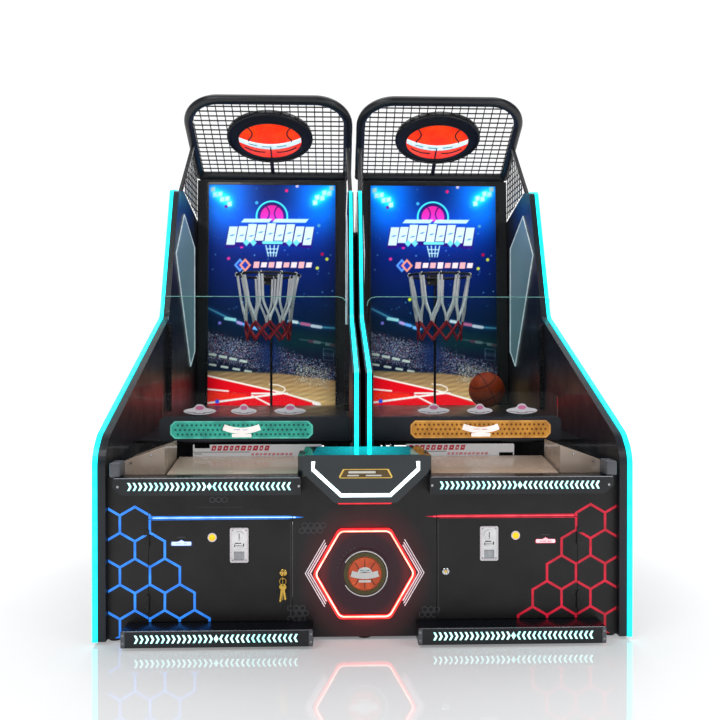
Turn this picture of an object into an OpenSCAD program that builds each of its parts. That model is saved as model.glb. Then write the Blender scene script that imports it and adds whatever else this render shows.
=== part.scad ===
// Two-lane basketball arcade machine: cabinet, ball trays, ball gates, hoops,
// screens and wire canopies.  Millimetres.  X runs to the right, Y to the back,
// Z up; the origin is the middle of the footprint at floor level.
// Every right-hand shape is drawn once and mirrored for the left-hand lane.

/* [Cabinet] */
// Overall width across the two side panels
cab_w = 2100; // [2080:10:2120]
// Thickness of a side panel
side_t = 50; // [40:1:50]
// Height of the frame above the floor, which the levelling feet take up
foot_h = 12; // [10:1:16]
// Height of the front shoulder of the side panels
shoulder_z = 730; // [715:1:745]

/* [Doors] */
// Height of a service door
door_h = 400; // [380:1:402]
// Thickness of a service door and of the front panel
door_t = 18; // [16:1:20]
// Gap round a service door
door_gap = 2; // [1.5:0.5:3]

/* [Playfield] */
// Distance of a lane's middle from the machine's middle
lane_x = 520; // [515:1:525]
// Radius of a hoop's ring, at the middle of its tube
rim_r = 187; // [180:1:190]
// Height of the hoop rings
rim_z = 1600; // [1580:1:1610]
// Height of the bottom end of a net
net_bottom_z = 1209; // [1190:1:1240]
// Diameter of a basketball
ball_d = 220; // [200:1:230]
// Slope of the ball trays
tray_slope = 8; // [6:0.5:9]

/* [Gates] */
// Length of a ball gate's lit grille
grille_w = 616; // [600:1:640]
// Height of a ball gate's lit grille
grille_h = 77; // [70:1:80]
// Pitch of the grille's holes
grille_pitch = 20; // [18:0.5:24]
// Module of the rack and pinion that lower a gate
gear_module = 2; // [2:0.5:2]
// Number of teeth on a gate's pinion
pinion_teeth = 20; // [20:2:20]

/* [Screens] */
// Width of a screen's lit area
screen_w = 812; // [790:1:815]
// Height of a screen's lit area
screen_h = 1420; // [1390:1:1430]
// Backward lean of the screens
screen_lean = 3; // [2:0.5:4]

/* [Canopy] */
// Diameter of the canopy tubes
canopy_tube_d = 56; // [40:1:60]
// Pitch of the mesh wires that run up the slope
mesh_pitch = 48; // [40:1:60]
// Pitch of the mesh wires that run across
mesh_row_pitch = 37; // [30:1:60]
// Thickness of the mesh wires
wire_d = 6; // [3:0.5:6]

/* [Hidden] */
$fn = 48;

BLACK = "#1b1d22";
DARK = "#26292f";
STEEL = "#a9adb2";
CYAN = "#35e6ee";

half_w = cab_w / 2;
side_in = half_w - side_t;           // inner face of a side panel
front_y = -1100;                     // front edge of the side panels
nose_y = -1175;                      // foremost face, on the console
rear_y = 1150;                       // rear edge of the side panels
panel_y = front_y + 30;              // recessed face of the front panel
panel_back_y = panel_y + door_t;

// A depth measured back from the front edge of the side panels
function at(depth) = front_y + depth;

gate_y = at(372);                    // front face of a ball gate
gate_d = 80;                         // its depth

/* ---------- outline helpers ---------- */

function unit(v) = v / norm(v);

// Points of the arc of radius r that rounds the corner b between a and c
function corner_arc(a, b, c, r, steps) =
    let (u = unit(a - b), v = unit(c - b),
         half = acos(u * v) / 2,
         reach = r / tan(half),
         middle = b + unit(u + v) * r / sin(half),
         p = b + u * reach - middle,
         q = b + v * reach - middle,
         start = atan2(p.y, p.x),
         turn = (atan2(q.y, q.x) - start + 540) % 360 - 180)
    [for (i = [0:steps]) middle + r * [cos(start + turn * i / steps), sin(start + turn * i / steps)]];

// An open path whose inner corners are rounded by the radii given
function rounded_path(pts, radii, steps = 6) =
    [for (i = [0:len(pts) - 1])
        each (radii[i] == 0 ? [pts[i]]
              : corner_arc(pts[i - 1], pts[i], pts[i + 1], radii[i], steps))];

// A closed outline whose corners are rounded by the radii given
function rounded_outline(pts, radii, steps = 6) =
    let (n = len(pts))
    [for (i = [0:n - 1])
        each (radii[i] == 0 ? [pts[i]]
              : corner_arc(pts[(i + n - 1) % n], pts[i], pts[(i + 1) % n], radii[i], steps))];

function backwards(pts) = [for (i = [len(pts) - 1:-1:0]) pts[i]];

// The path moved sideways by a distance, to its left as it runs
function beside(path, distance) =
    [for (i = [0:len(path) - 1])
        let (along = unit(path[min(i + 1, len(path) - 1)] - path[max(i - 1, 0)]))
        path[i] + distance * [-along.y, along.x]];

// A Y-Z outline drawn as a plate from x0 to x1
module plate_x(x0, x1) {
    translate([x0, 0, 0]) rotate([90, 0, 90]) linear_extrude(x1 - x0) children();
}

// An X-Z outline drawn as a plate from y0 back to y1
module plate_y(y0, y1) {
    translate([0, y1, 0]) rotate([90, 0, 0]) linear_extrude(y1 - y0) children();
}

module block(low, high) {
    translate(low) cube(high - low);
}

// Draws a right-hand shape on the side asked for: 1 right, -1 left
module on_side(side) {
    if (side > 0) children();
    else mirror([1, 0, 0]) children();
}

module both_sides() {
    children();
    mirror([1, 0, 0]) children();
}

module rod(from, to, r) {
    run = to - from;
    translate(from)
        rotate([0, acos(run.z / norm(run)), atan2(run.y, run.x)])
            cylinder(h = norm(run), r = r);
}

/* ---------- cabinet outlines ---------- */

upper_front = [at(1190), 1317];
upper_back = [at(1465), 2048];
upper_top = [at(1600), 2075];

side_edge = rounded_path(
    [[at(0), foot_h], [at(0), shoulder_z], [at(64), shoulder_z + 70], upper_front, upper_back, upper_top],
    [0, 110, 110, 60, 25, 0]);

divider_foot_z = 690;
divider_edge = rounded_path(
    [[at(220), divider_foot_z], [at(220), 1045], upper_front, upper_back, upper_top],
    [0, 40, 60, 25, 0]);

rear_corner_z = 1945;

module side_outline() {
    polygon(concat(side_edge, [[rear_y, rear_corner_z], [rear_y, foot_h]]));
}

module divider_outline() {
    polygon(concat(divider_edge, [[rear_y, rear_corner_z], [rear_y, divider_foot_z]]));
}

module side_panel(side) {
    color(BLACK) on_side(side) plate_x(side_in, half_w) side_outline();
}

divider_in = 11;
divider_out = 43;

module divider_panels() {
    color(BLACK) both_sides() plate_x(divider_in, divider_out) divider_outline();
}

// Light strips lie on the front edges of the panels
strip_t = 6;
strip_w = 19;
divider_strip_w = 16;

module light_strip(edge, x0, x1) {
    plate_x(x0, x1) polygon(concat(edge, backwards(beside(edge, strip_t))));
}

// The part of an edge that carries light starts above a height
function above(edge, z) =
    concat([[edge[0].x, z]], [for (p = edge) if (p.y > z) p]);

module divider_strip() {
    light_strip(above(divider_edge, console_z),
                (divider_in + divider_out - divider_strip_w) / 2,
                (divider_in + divider_out + divider_strip_w) / 2);
}

module edge_lights() {
    color(CYAN) both_sides() {
        light_strip(side_edge, half_w - strip_w, half_w);
        divider_strip();
    }
}

// Tall kite-shaped mirrors on the inner faces of the lane
blade_t = 4;
blade_outline = [[at(1600), 1938], [at(1360), 1680], [at(1800), 1050], [at(1940), 1140], [at(1940), 1790]];

module blade_mirrors() {
    color("#5c7f86") both_sides() {
        plate_x(side_in - blade_t, side_in) polygon(blade_outline);
        plate_x(divider_out, divider_out + blade_t) polygon(blade_outline);
    }
}

/* ---------- frame ---------- */

tube = 40;
tube_wall = 2;
frame_front_y = panel_back_y + 4;
frame_rear_y = 1100;
upright_top_z = 1900;
rail_tube_z = divider_foot_z - tube;
cross_z = 400;
cross_y = -640;
pole_tube_y = 856;

module box_tube_x(x0, x1, y, z) {
    difference() {
        block([x0, y, z], [x1, y + tube, z + tube]);
        block([x0 - 1, y + tube_wall, z + tube_wall], [x1 + 1, y + tube - tube_wall, z + tube - tube_wall]);
    }
}

module box_tube_y(y0, y1, x, z) {
    difference() {
        block([x, y0, z], [x + tube, y1, z + tube]);
        block([x + tube_wall, y0 - 1, z + tube_wall], [x + tube - tube_wall, y1 + 1, z + tube - tube_wall]);
    }
}

module box_tube_z(z0, z1, x, y) {
    difference() {
        block([x, y, z0], [x + tube, y + tube, z1]);
        block([x + tube_wall, y + tube_wall, z0 - 1], [x + tube - tube_wall, y + tube - tube_wall, z1 + 1]);
    }
}

module base_frame() {
    floor_tube_z = foot_h;
    above_floor_z = foot_h + tube;
    color("#2b2d31") {
        for (y = [frame_front_y, frame_rear_y]) box_tube_x(-side_in, side_in, y, floor_tube_z);
        for (x = [-side_in, -tube / 2, side_in - tube])
            box_tube_y(frame_front_y + tube, frame_rear_y, x, floor_tube_z);
        // uprights at the back corners and along the middle
        for (x = [-side_in, side_in - tube])
            box_tube_z(above_floor_z, upright_top_z, x, frame_rear_y);
        for (y = [deck_rear_y, 100, frame_rear_y - 60]) box_tube_z(above_floor_z, rail_tube_z, -tube / 2, y);
        box_tube_y(deck_rear_y, frame_rear_y - 20, -tube / 2, rail_tube_z);
        // uprights and cross tubes that carry the gate drives and the ramps
        both_sides() {
            for (y = [cross_y, pole_tube_y]) box_tube_z(above_floor_z, rail_tube_z, side_in - tube, y);
            box_tube_x(tube / 2, side_in - tube, cross_y, cross_z);
            box_tube_x(tube / 2, side_in - tube, pole_tube_y, rail_tube_z - tube);
            box_tube_x(tube / 2, side_in, pole_tube_y, rail_tube_z);
        }
    }
}

module levelling_feet() {
    pad_h = 8;
    color("#151515")
        for (x = [-1, 0, 1], y = [frame_front_y + tube / 2, frame_rear_y + tube / 2])
            translate([x * (side_in - tube / 2), y, 0]) {
                cylinder(h = pad_h, r = 25);
                cylinder(h = foot_h, r = 10);
            }
}

/* ---------- lower front ---------- */

door_in = 284;                       // door edge nearest the middle
door_out = 842;                      // hinged edge
door_z = 78;
door_top_z = door_z + door_h;
panel_top_z = 640;
shelf_t = 18;
shelf_in = 862;
shelf_y = -930;

module front_panel() {
    color(DARK) difference() {
        union() {
            block([-side_in, panel_y, foot_h], [side_in, panel_back_y, panel_top_z]);
            both_sides()
                block([shelf_in, panel_back_y - 1, panel_top_z - shelf_t], [side_in, shelf_y, panel_top_z]);
        }
        both_sides()
            block([door_in - door_gap, panel_y - 1, door_z - door_gap],
                  [door_out + door_gap, panel_back_y + 1, door_top_z + door_gap]);
        // pocket at the seam for the hinge knuckles
        both_sides()
            for (z = hinge_zs)
                block([door_out - 1, panel_y - 1, z - 1], [hinge_x + knuckle_r + 1, panel_y + 1.5, z + hinge_h + 1]);
    }
}

hinge_x = door_out + door_gap / 2;
hinge_y = panel_y - 4;
hinge_pin_r = 2.5;
knuckle_r = 4.5;
knuckle_h = 22;
hinge_h = 3 * knuckle_h;
hinge_zs = [door_z + 40, door_top_z - 40 - hinge_h];
leaf_t = 1.4;
leaf_w = 22;
knuckle_gap = 0.4;

// The fixed half of a hinge has the pin and the two end knuckles
module door_hinges() {
    color("#33363c") both_sides()
        for (z = hinge_zs) translate([hinge_x, hinge_y, z]) {
            for (k = [0, 2]) translate([0, 0, k * knuckle_h]) {
                cylinder(h = knuckle_h, r = knuckle_r);
                block([0, knuckle_r - leaf_t - 0.5, 0], [leaf_w, knuckle_r - 0.5, knuckle_h]);
            }
            cylinder(h = hinge_h, r = hinge_pin_r);
        }
}

// The swinging half: one middle knuckle and its leaf
module door_knuckle() {
    z0 = knuckle_h + knuckle_gap;
    h = knuckle_h - 2 * knuckle_gap;
    difference() {
        union() {
            translate([0, 0, z0]) cylinder(h = h, r = knuckle_r);
            translate([0, 0, z0]) block([-leaf_w, knuckle_r - leaf_t - 0.5, 0], [0, knuckle_r - 0.5, h]);
        }
        translate([0, 0, z0 - 1]) cylinder(h = h + 2, r = hinge_pin_r + 0.05);
    }
}

coin_x = 490;
coin_z = 376;
coin_w = 72;
coin_h = 136;
coin_hole = [60, 122];
start_x = 595;
start_z = 407;
start_hole_r = 15;
lock_x = 319;
lock_z = 266;
lock_r = 10;

module service_door(side) {
    color(DARK) on_side(side) {
        difference() {
            block([door_in, panel_y, door_z], [door_out, panel_back_y, door_top_z]);
            block([coin_x - coin_hole.x / 2, panel_y - 1, coin_z - coin_hole.y / 2],
                  [coin_x + coin_hole.x / 2, panel_back_y + 1, coin_z + coin_hole.y / 2]);
            translate([start_x, panel_y - 1, start_z]) rotate([-90, 0, 0]) cylinder(h = door_t + 2, r = start_hole_r);
            translate([lock_x, panel_y - 1, lock_z]) rotate([-90, 0, 0]) cylinder(h = door_t + 2, r = lock_r);
            for (z = hinge_zs)
                block([door_out - 8, panel_y - 1, z - 1], [door_out + 1, panel_y + 1, z + hinge_h + 1]);
        }
        for (z = hinge_zs) translate([hinge_x, hinge_y, z]) door_knuckle();
    }
}

// Chrome lock barrel and start-button housing, both fixed in the door
plug_r = 6;
cap_r = 11.5;
barrel_back_y = panel_back_y + 8;

module door_fittings(side) {
    color(STEEL) on_side(side) {
        translate([lock_x, 0, lock_z]) rotate([-90, 0, 0]) difference() {
            union() {
                translate([0, 0, panel_y - 3]) cylinder(h = 3, r = 13);
                translate([0, 0, panel_y - 3]) cylinder(h = barrel_back_y - panel_y + 3, r = lock_r);
            }
            translate([0, 0, panel_y - 4]) cylinder(h = barrel_back_y - panel_y + 5, r = plug_r + 0.05);
        }
        translate([start_x, 0, start_z]) rotate([-90, 0, 0]) difference() {
            union() {
                translate([0, 0, panel_y - 5]) cylinder(h = 5, r = 17.5);
                translate([0, 0, panel_y - 5]) cylinder(h = 45, r = start_hole_r);
            }
            translate([0, 0, panel_y - 6]) cylinder(h = 30, r = cap_r + 0.05);
        }
    }
}

cam_l = 46;
cam_w = 14;
cam_t = 2.5;

// The plug turns in the barrel and carries the locking cam; the left one has its key in
module lock_plug(side) {
    color("#c9a13a") on_side(side) translate([lock_x, 0, lock_z]) {
        rotate([-90, 0, 0]) translate([0, 0, panel_y - 4]) cylinder(h = barrel_back_y - panel_y + 8, r = plug_r);
        block([-cam_w / 2, barrel_back_y + 1, -cam_l + cam_w / 2], [cam_w / 2, barrel_back_y + 1 + cam_t, cam_w / 2]);
        if (side < 0) hanging_keys();
    }
}

module hanging_keys() {
    key_y = panel_y - 4;
    block([-1.2, key_y - 22, -4], [1.2, key_y, 4]);
    translate([-1.2, key_y - 20, -14]) rotate([0, 90, 0]) difference() {
        cylinder(h = 2.4, r = 12);
        translate([0, 0, -1]) cylinder(h = 5, r = 3);
    }
    block([-1, key_y - 26, -98], [1, key_y - 14, -24]);
}

/* ---------- coin acceptor and buttons ---------- */

coin_y = panel_y - 6;                // front face of the coin plate
return_w = 40;
return_h = 34;
return_z = coin_z - 42;
reject_w = 24;
reject_h = 9;
reject_z = coin_z - 6;
entry_z = coin_z + 32;
flap_pin_r = 1.5;
flap_pin_z = return_z + return_h / 2 - 3;
flap_pin_y = coin_y + 5;

module coin_acceptor(side) {
    body = [54, 86, 114];
    color("#d5d8dc") on_side(side) translate([coin_x, 0, 0]) difference() {
        union() {
            translate([0, 0, coin_z]) plate_y(coin_y, panel_y)
                polygon(rounded_outline(
                    [[-coin_w, -coin_h], [coin_w, -coin_h], [coin_w, coin_h], [-coin_w, coin_h]] / 2,
                    [7, 7, 7, 7]));
            block([-body.x / 2, panel_y - 0.5, coin_z - body.z / 2], [body.x / 2, panel_y + body.y, coin_z + body.z / 2]);
            translate([0, coin_y - 3, entry_z]) rotate([-90, 0, 0]) cylinder(h = 4, r = 22);
        }
        // coin slot
        block([-1.6, coin_y - 4, entry_z - 14], [1.6, coin_y + 60, entry_z + 14]);
        // reject button's guide
        block([-reject_w / 2 - 0.4, coin_y - 1, reject_z - reject_h / 2 - 0.4],
              [reject_w / 2 + 0.4, coin_y + 20, reject_z + reject_h / 2 + 0.4]);
        // return cup and the two holes for the flap's pins
        block([-return_w / 2, coin_y - 1, return_z - return_h / 2], [return_w / 2, coin_y + 44, return_z + return_h / 2]);
        translate([-return_w / 2 - 3, flap_pin_y, flap_pin_z]) rotate([0, 90, 0])
            cylinder(h = return_w + 6, r = flap_pin_r + 0.05);
    }
}

module coin_return_button(side) {
    color("#f4f4f4") on_side(side)
        block([coin_x - reject_w / 2, coin_y - 6, reject_z - reject_h / 2],
              [coin_x + reject_w / 2, coin_y + 12, reject_z + reject_h / 2]);
}

module coin_return_flap(side) {
    half = return_w / 2 - 0.6;
    color(STEEL) on_side(side) translate([coin_x, flap_pin_y, flap_pin_z]) {
        rotate([0, 90, 0]) translate([0, 0, -half]) cylinder(h = 2 * half, r = 2.4);
        rotate([0, 90, 0]) translate([0, 0, -half - 2.6]) cylinder(h = 2 * half + 5.2, r = flap_pin_r);
        block([-half, -2.4, -return_h + 4.5], [half, -0.6, 0]);
    }
}

module start_button(side) {
    button_y = panel_y - 12;
    color("#ffd21e") on_side(side) translate([start_x, 0, start_z]) rotate([-90, 0, 0])
        translate([0, 0, button_y]) cylinder(h = 22, r = cap_r);
}

/* ---------- console, sign and rails ---------- */

console_z = 738;
console_half_w = 240;
console_rear_y = at(220);
console_side_z = 672;
console_low_z = 556;
console_low_w = 118;
console_face = [
    [console_half_w, console_z], [console_half_w, console_side_z], [console_low_w, console_low_z],
    [-console_low_w, console_low_z], [-console_half_w, console_side_z], [-console_half_w, console_z]];
flank_out = 262;
flank_top_z = 722;
deck_z = divider_foot_z;
deck_rear_y = gate_y - 20;

module console_housing() {
    color(DARK) {
        plate_y(nose_y + lamp_t, panel_y) polygon(rounded_outline(console_face, [14, 20, 20, 20, 20, 14]));
        block([-console_half_w, panel_y, panel_top_z + 2], [console_half_w, console_rear_y, console_z]);
        both_sides() block([console_half_w, panel_y + 2, panel_top_z], [flank_out, console_rear_y, flank_top_z]);
        block([-flank_out, console_rear_y, deck_z - 30], [flank_out, deck_rear_y, deck_z]);
    }
}

// A V-shaped lit line, open at the top
light_w = 14;
lamp_t = 4;
console_v = [[206, 714], [206, 680], [96, 579], [-96, 579], [-206, 680], [-206, 714]];

module console_light() {
    color("white") plate_y(nose_y, nose_y + lamp_t)
        polygon(concat(console_v, backwards(beside(console_v, -light_w))));
}

plate_w = 210;
plate_h = 35;
plate_z = 668;

module name_plate() {
    color("#b08d3c") plate_y(nose_y + 1, nose_y + lamp_t)
        polygon(rounded_outline(
            [[-plate_w / 2, plate_z - plate_h / 2], [plate_w / 2, plate_z - plate_h / 2],
             [plate_w / 2 - 18, plate_z + plate_h / 2], [-plate_w / 2 + 18, plate_z + plate_h / 2]],
            [6, 6, 6, 6]));
}

hex_z = 262;
hex_r = 204;
hex_tube = 15;

function hexagon(r) = [for (i = [0:5]) [r * cos(60 * i), hex_z + r * sin(60 * i)]];

module hexagon_light() {
    corner = [26, 26, 26, 26, 26, 26];
    color("#ff3b30") plate_y(panel_y - 14, panel_y) difference() {
        polygon(rounded_outline(hexagon(hex_r), corner));
        polygon(rounded_outline(hexagon(hex_r - hex_tube), corner * 0.75));
    }
}

module hexagon_sign() {
    disc_r = 97;
    color("#e5482a") {
        plate_y(panel_y - 5, panel_y)
            polygon(rounded_outline(hexagon(hex_r - hex_tube - 4), [18, 18, 18, 18, 18, 18]));
        translate([0, panel_y - 10, hex_z]) rotate([-90, 0, 0]) cylinder(h = 6, r = disc_r);
    }
}

// Guide rails: C-shaped steel channels, closed at the ends
upper_rail = [[246, 586], [920, 586], [955, 616], [955, 650], [246, 650]];
lower_rail = [[200, foot_h], [925, foot_h], [925, 76], [200, 76]];
rail_y = nose_y + 13;
lower_rail_y = nose_y + 5;
rail_wall = 3;

module channel(outline, radii, y0) {
    inner = backwards(beside(concat([outline[len(outline) - 1]], outline, [outline[0]]), rail_wall));
    difference() {
        plate_y(y0, panel_y) polygon(rounded_outline(outline, radii));
        plate_y(y0 + rail_wall, panel_y + 1) polygon([for (i = [1:len(outline)]) inner[i]]);
    }
}

module guide_rails() {
    color(BLACK) both_sides() {
        channel(upper_rail, [0, 22, 12, 4, 0], rail_y);
        channel(lower_rail, [4, 4, 4, 4], lower_rail_y);
    }
}

// Rows of chevrons that point at a diamond in the middle of the rail
chevron_pitch = 20;
chevron_count = 15;
chevron_h = 30;
chevron_w = 8;

module chevron(x, z, way) {
    point = way * 8;
    translate([x, z]) polygon([
        [0, 0] + [point, 0], [0, chevron_h / 2], [-way * chevron_w, chevron_h / 2],
        [point - way * chevron_w, 0], [-way * chevron_w, -chevron_h / 2], [0, -chevron_h / 2]]);
}

module chevron_row(middle_x, z) {
    translate([middle_x, z]) polygon([[-9, 0], [0, -chevron_h / 2], [9, 0], [0, chevron_h / 2]]);
    for (i = [1:chevron_count]) {
        chevron(middle_x - i * chevron_pitch, z, 1);
        chevron(middle_x + i * chevron_pitch, z, -1);
    }
}

module chevron_lights() {
    color("#bff7f2") both_sides() {
        plate_y(rail_y - 1.5, rail_y) chevron_row(592, 620);
        plate_y(lower_rail_y - 1.5, lower_rail_y) chevron_row(566, 45);
    }
}

/* ---------- ball trays and ramps ---------- */

riser_y = gate_y - 14;
tray_front = [at(95), 644];
tray_in = 266;
tray_out = 786;
tray_t = 10;
cheek_in = 796;
cheek_out = 960;
cheek_y = at(110);

module tray_floors() {
    tray_run = riser_y - tray_front.x;
    color("#c9b8a0") both_sides() {
        translate([tray_in, tray_front.x, tray_front.y]) rotate([tray_slope, 0, 0])
            translate([0, 0, -tray_t]) cube([tray_out - tray_in, tray_run / cos(tray_slope) - 3, tray_t]);
        // cheek block at the outer end of the tray
        plate_y(cheek_y, riser_y) polygon(
            [[cheek_in, panel_top_z], [cheek_out, panel_top_z], [cheek_out, 694], [cheek_in, 752]]);
    }
}

riser_t = 12;
riser_spans = [[-728, -174], [121, 664]];  // the two boards are not placed alike
riser_z = [679, 731];
riser_notch = [66, 16];

// White boards with a notch at the top left and one at the bottom right
module riser_boards() {
    color("white") for (span = riser_spans) plate_y(riser_y, riser_y + riser_t) difference() {
        translate([span[0], riser_z[0]]) square([span[1] - span[0], riser_z[1] - riser_z[0]]);
        translate([span[0] + 6, riser_z[1] - riser_notch.y]) square(riser_notch);
        translate([span[1] - riser_notch.x, riser_z[0] - 1]) square([riser_notch.x - 4, riser_notch.y]);
    }
}

ramp_y = [-626, 850];
ramp_z = [738, 800];
ramp_t = 12;
ramp_tilt = atan2(ramp_z[1] - ramp_z[0], ramp_y[1] - ramp_y[0]);

module ramps() {
    color("#17181b") both_sides() plate_x(divider_out + 1, side_in - 1)
        polygon([[ramp_y[0], ramp_z[0]], [ramp_y[1], ramp_z[1]],
                 [ramp_y[1], ramp_z[1] - ramp_t], [ramp_y[0], ramp_z[0] - ramp_t]]);
}

ball_at = [815, 680];
ball_z = ramp_z[0] + (ball_at.y - ramp_y[0]) * tan(ramp_tilt) + ball_d / 2 / cos(ramp_tilt) + 0.2;

module basketball() {
    color("#c8561e") translate([ball_at.x, ball_at.y, ball_z]) sphere(d = ball_d);
}

/* ---------- ball gates and their drives ---------- */

gate_in = 50;
gate_out = 875;
gate_z = [744, 846];
gate_wall = 3;
leg_r = 8;
leg_xs = [100, 830];
leg_low_z = 425;
leg_y = gate_y + gate_d / 2;
rack_x = [130, 146];
rack_line_y = gate_y + gate_d;       // pitch line of the rack
tooth_pitch = PI * gear_module;
backlash = 0.25;
pinion_r = gear_module * pinion_teeth / 2;
pinion_z = 500;
pinion_y = rack_line_y + pinion_r;
rack_low = -2;                       // first and last rack tooth, counted from the pinion
rack_high = 38;

// Half thickness of a rack tooth at a height above the pitch line
function rack_half(h) = (tooth_pitch / 2 - backlash) / 2 - h * tan(20);

module rack() {
    tip = gear_module;
    root = -1.25 * gear_module;
    teeth = [for (k = [rack_low:rack_high]) each [
        [rack_line_y + root, pinion_z + k * tooth_pitch - rack_half(root)],
        [rack_line_y + tip, pinion_z + k * tooth_pitch - rack_half(tip)],
        [rack_line_y + tip, pinion_z + k * tooth_pitch + rack_half(tip)],
        [rack_line_y + root, pinion_z + k * tooth_pitch + rack_half(root)]]];
    low = pinion_z + (rack_low - 0.6) * tooth_pitch;
    plate_x(rack_x[0], rack_x[1])
        polygon(concat(
            [[rack_line_y - 18, gate_z[0]], [rack_line_y - 18, low], [rack_line_y + root, low]],
            teeth, [[rack_line_y + root, gate_z[0]]]));
}

module gate_beam(side) {
    color("#22252b") on_side(side) {
        difference() {
            plate_y(gate_y, gate_y + gate_d)
                polygon(rounded_outline(
                    [[gate_in, gate_z[0]], [gate_out, gate_z[0]], [gate_out, gate_z[1]], [gate_in, gate_z[1]]],
                    [10, 18, 18, 10]));
            plate_y(gate_y + gate_wall, gate_y + gate_d - gate_wall)
                polygon([[gate_in + 12, gate_z[0] + 10], [gate_out - 12, gate_z[0] + 10],
                         [gate_out - 12, gate_z[1] - 10], [gate_in + 12, gate_z[1] - 10]]);
            grille_pocket();
        }
        for (x = leg_xs) translate([x, leg_y, leg_low_z]) cylinder(h = gate_z[0] - leg_low_z, r = leg_r);
        rack();
    }
}

grille_z = gate_z[0] + 50;

module grille_outline() {
    chamfer = grille_h / 4;
    translate([lane_x, grille_z]) polygon(rounded_outline(
        [[-grille_w / 2, -grille_h / 2 + chamfer], [-grille_w / 2 + chamfer, -grille_h / 2],
         [grille_w / 2 - chamfer, -grille_h / 2], [grille_w / 2, -grille_h / 2 + chamfer],
         [grille_w / 2, grille_h / 2 - chamfer], [grille_w / 2 - chamfer, grille_h / 2],
         [-grille_w / 2 + chamfer, grille_h / 2], [-grille_w / 2, grille_h / 2 - chamfer]],
        [8, 8, 8, 8, 8, 8, 8, 8], 3));
}

module grille_pocket() {
    plate_y(gate_y - 1, gate_y + gate_wall + 1) grille_outline();
}

// Perforated plate over the gate's lamp
module gate_grille(side) {
    rows = floor((grille_h - 14) / grille_pitch);
    columns = floor((grille_w - 30) / grille_pitch);
    color(side < 0 ? "#2fb59a" : "#d08a2c") on_side(side)
        plate_y(gate_y - 1.5, gate_y + gate_wall) difference() {
            grille_outline();
            for (r = [0:rows - 1], c = [0:columns - 1])
                translate([lane_x + (c - (columns - 1) / 2 + (r % 2) * 0.5 - 0.25) * grille_pitch,
                           grille_z + (r - (rows - 1) / 2) * grille_pitch])
                    circle(r = grille_pitch * 0.3, $fn = 6);
        }
}

window_z = 955;
window_t = 6;
window_y = gate_y + 20;

// Clear ball stop on top of the gate
module gate_window(side) {
    color([0.7, 0.85, 0.9, 0.35]) on_side(side) plate_y(window_y, window_y + window_t)
        polygon(rounded_outline(
            [[gate_in + 10, gate_z[1]], [gate_out - 10, gate_z[1]], [gate_out - 10, window_z], [gate_in + 10, window_z]],
            [0, 0, 30, 30]));
}

shaft_r = 4;
pinion_x = [131, 145];
motor_x = [152, 236];
motor_r = 19;

// Outline of a spur gear with a tooth centred on its first axis
function gear_points(teeth, m) =
    let (r = m * teeth / 2, base = r * cos(20), tip = r + m, root = r - 1.25 * m,
         half_pitch = 90 / teeth - backlash / 4 / r * 180 / PI,
         roll = function (q) q <= base ? 0 : sqrt(pow(q / base, 2) - 1),
         spread = function (q) (roll(q) - atan(roll(q)) * PI / 180) * 180 / PI,
         start = half_pitch + spread(r),
         radii = [root, base, base + (tip - base) * 0.2, base + (tip - base) * 0.5,
                  base + (tip - base) * 0.75, tip])
    [for (k = [0:teeth - 1], side = [-1, 1], i = [0:len(radii) - 1])
        let (q = side < 0 ? radii[i] : radii[len(radii) - 1 - i],
             a = k * 360 / teeth + side * (start - spread(q)))
        q * [cos(a), sin(a)]];

module gate_pinion(side) {
    color("#c9ccd1") on_side(side) {
        translate([0, pinion_y, pinion_z]) plate_x(pinion_x[0], pinion_x[1])
            rotate(180 / pinion_teeth) polygon(gear_points(pinion_teeth, gear_module));
        translate([pinion_x[1] - 1, pinion_y, pinion_z]) rotate([0, 90, 0])
            cylinder(h = motor_x[0] + 26 - pinion_x[1], r = shaft_r);
    }
}

module gate_motors() {
    color("#3a3d44") both_sides() {
        difference() {
            translate([motor_x[0], pinion_y, pinion_z]) rotate([0, 90, 0])
                cylinder(h = motor_x[1] - motor_x[0], r = motor_r);
            translate([motor_x[0] - 1, pinion_y, pinion_z]) rotate([0, 90, 0]) cylinder(h = 30, r = shaft_r + 0.05);
        }
        block([motor_x[0] + 30, cross_y + 4, cross_z + tube], [motor_x[1], cross_y + 28, pinion_z - motor_r + 4]);
    }
}

guide_z = [cross_z + tube, cross_z + tube + 75];

module gate_guides() {
    color("#8d9299") both_sides() for (x = leg_xs) difference() {
        union() {
            block([x - 20, leg_y - 20, guide_z[0]], [x + 20, leg_y + 20, guide_z[1]]);
            block([x - 20, leg_y + 20, guide_z[0]], [x + 20, cross_y + tube, guide_z[0] + 10]);
        }
        translate([x, leg_y, guide_z[0] - 1]) cylinder(h = guide_z[1] - guide_z[0] + 2, r = leg_r + 0.05);
    }
}

/* ---------- hoops ---------- */

pole_y = pole_tube_y + tube / 2;
pole_r = 8;
rim_y = 650;
rim_tube_r = 8;
bracket_t = 10;

module hoop_poles() {
    color(BLACK) both_sides() translate([lane_x, pole_y, rail_tube_z + tube]) {
        cylinder(h = 8, r = 30);
        cylinder(h = rim_z + 30 - rail_tube_z - tube, r = pole_r);
    }
}

module hoop_rims() {
    plate_y0 = pole_y - pole_r - bracket_t;
    arm_w = 14;
    color(BLACK) both_sides() translate([lane_x, 0, rim_z]) {
        translate([0, rim_y, 0]) rotate_extrude() translate([rim_r, 0]) circle(r = rim_tube_r, $fn = 24);
        block([-55, plate_y0, -40], [55, plate_y0 + bracket_t, 28]);
        for (x = [-44, 30])
            block([x, rim_y + sqrt(pow(rim_r, 2) - pow(37, 2)), -5], [x + arm_w, plate_y0, 5]);
    }
}

// Radius of the net at a height, a gentle taper
function net_radius(z) =
    let (t = (z - net_bottom_z) / (rim_z - rim_tube_r - net_bottom_z))
    132 + (rim_r - 132) * (0.55 * t + 0.45 * t * t);

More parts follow.
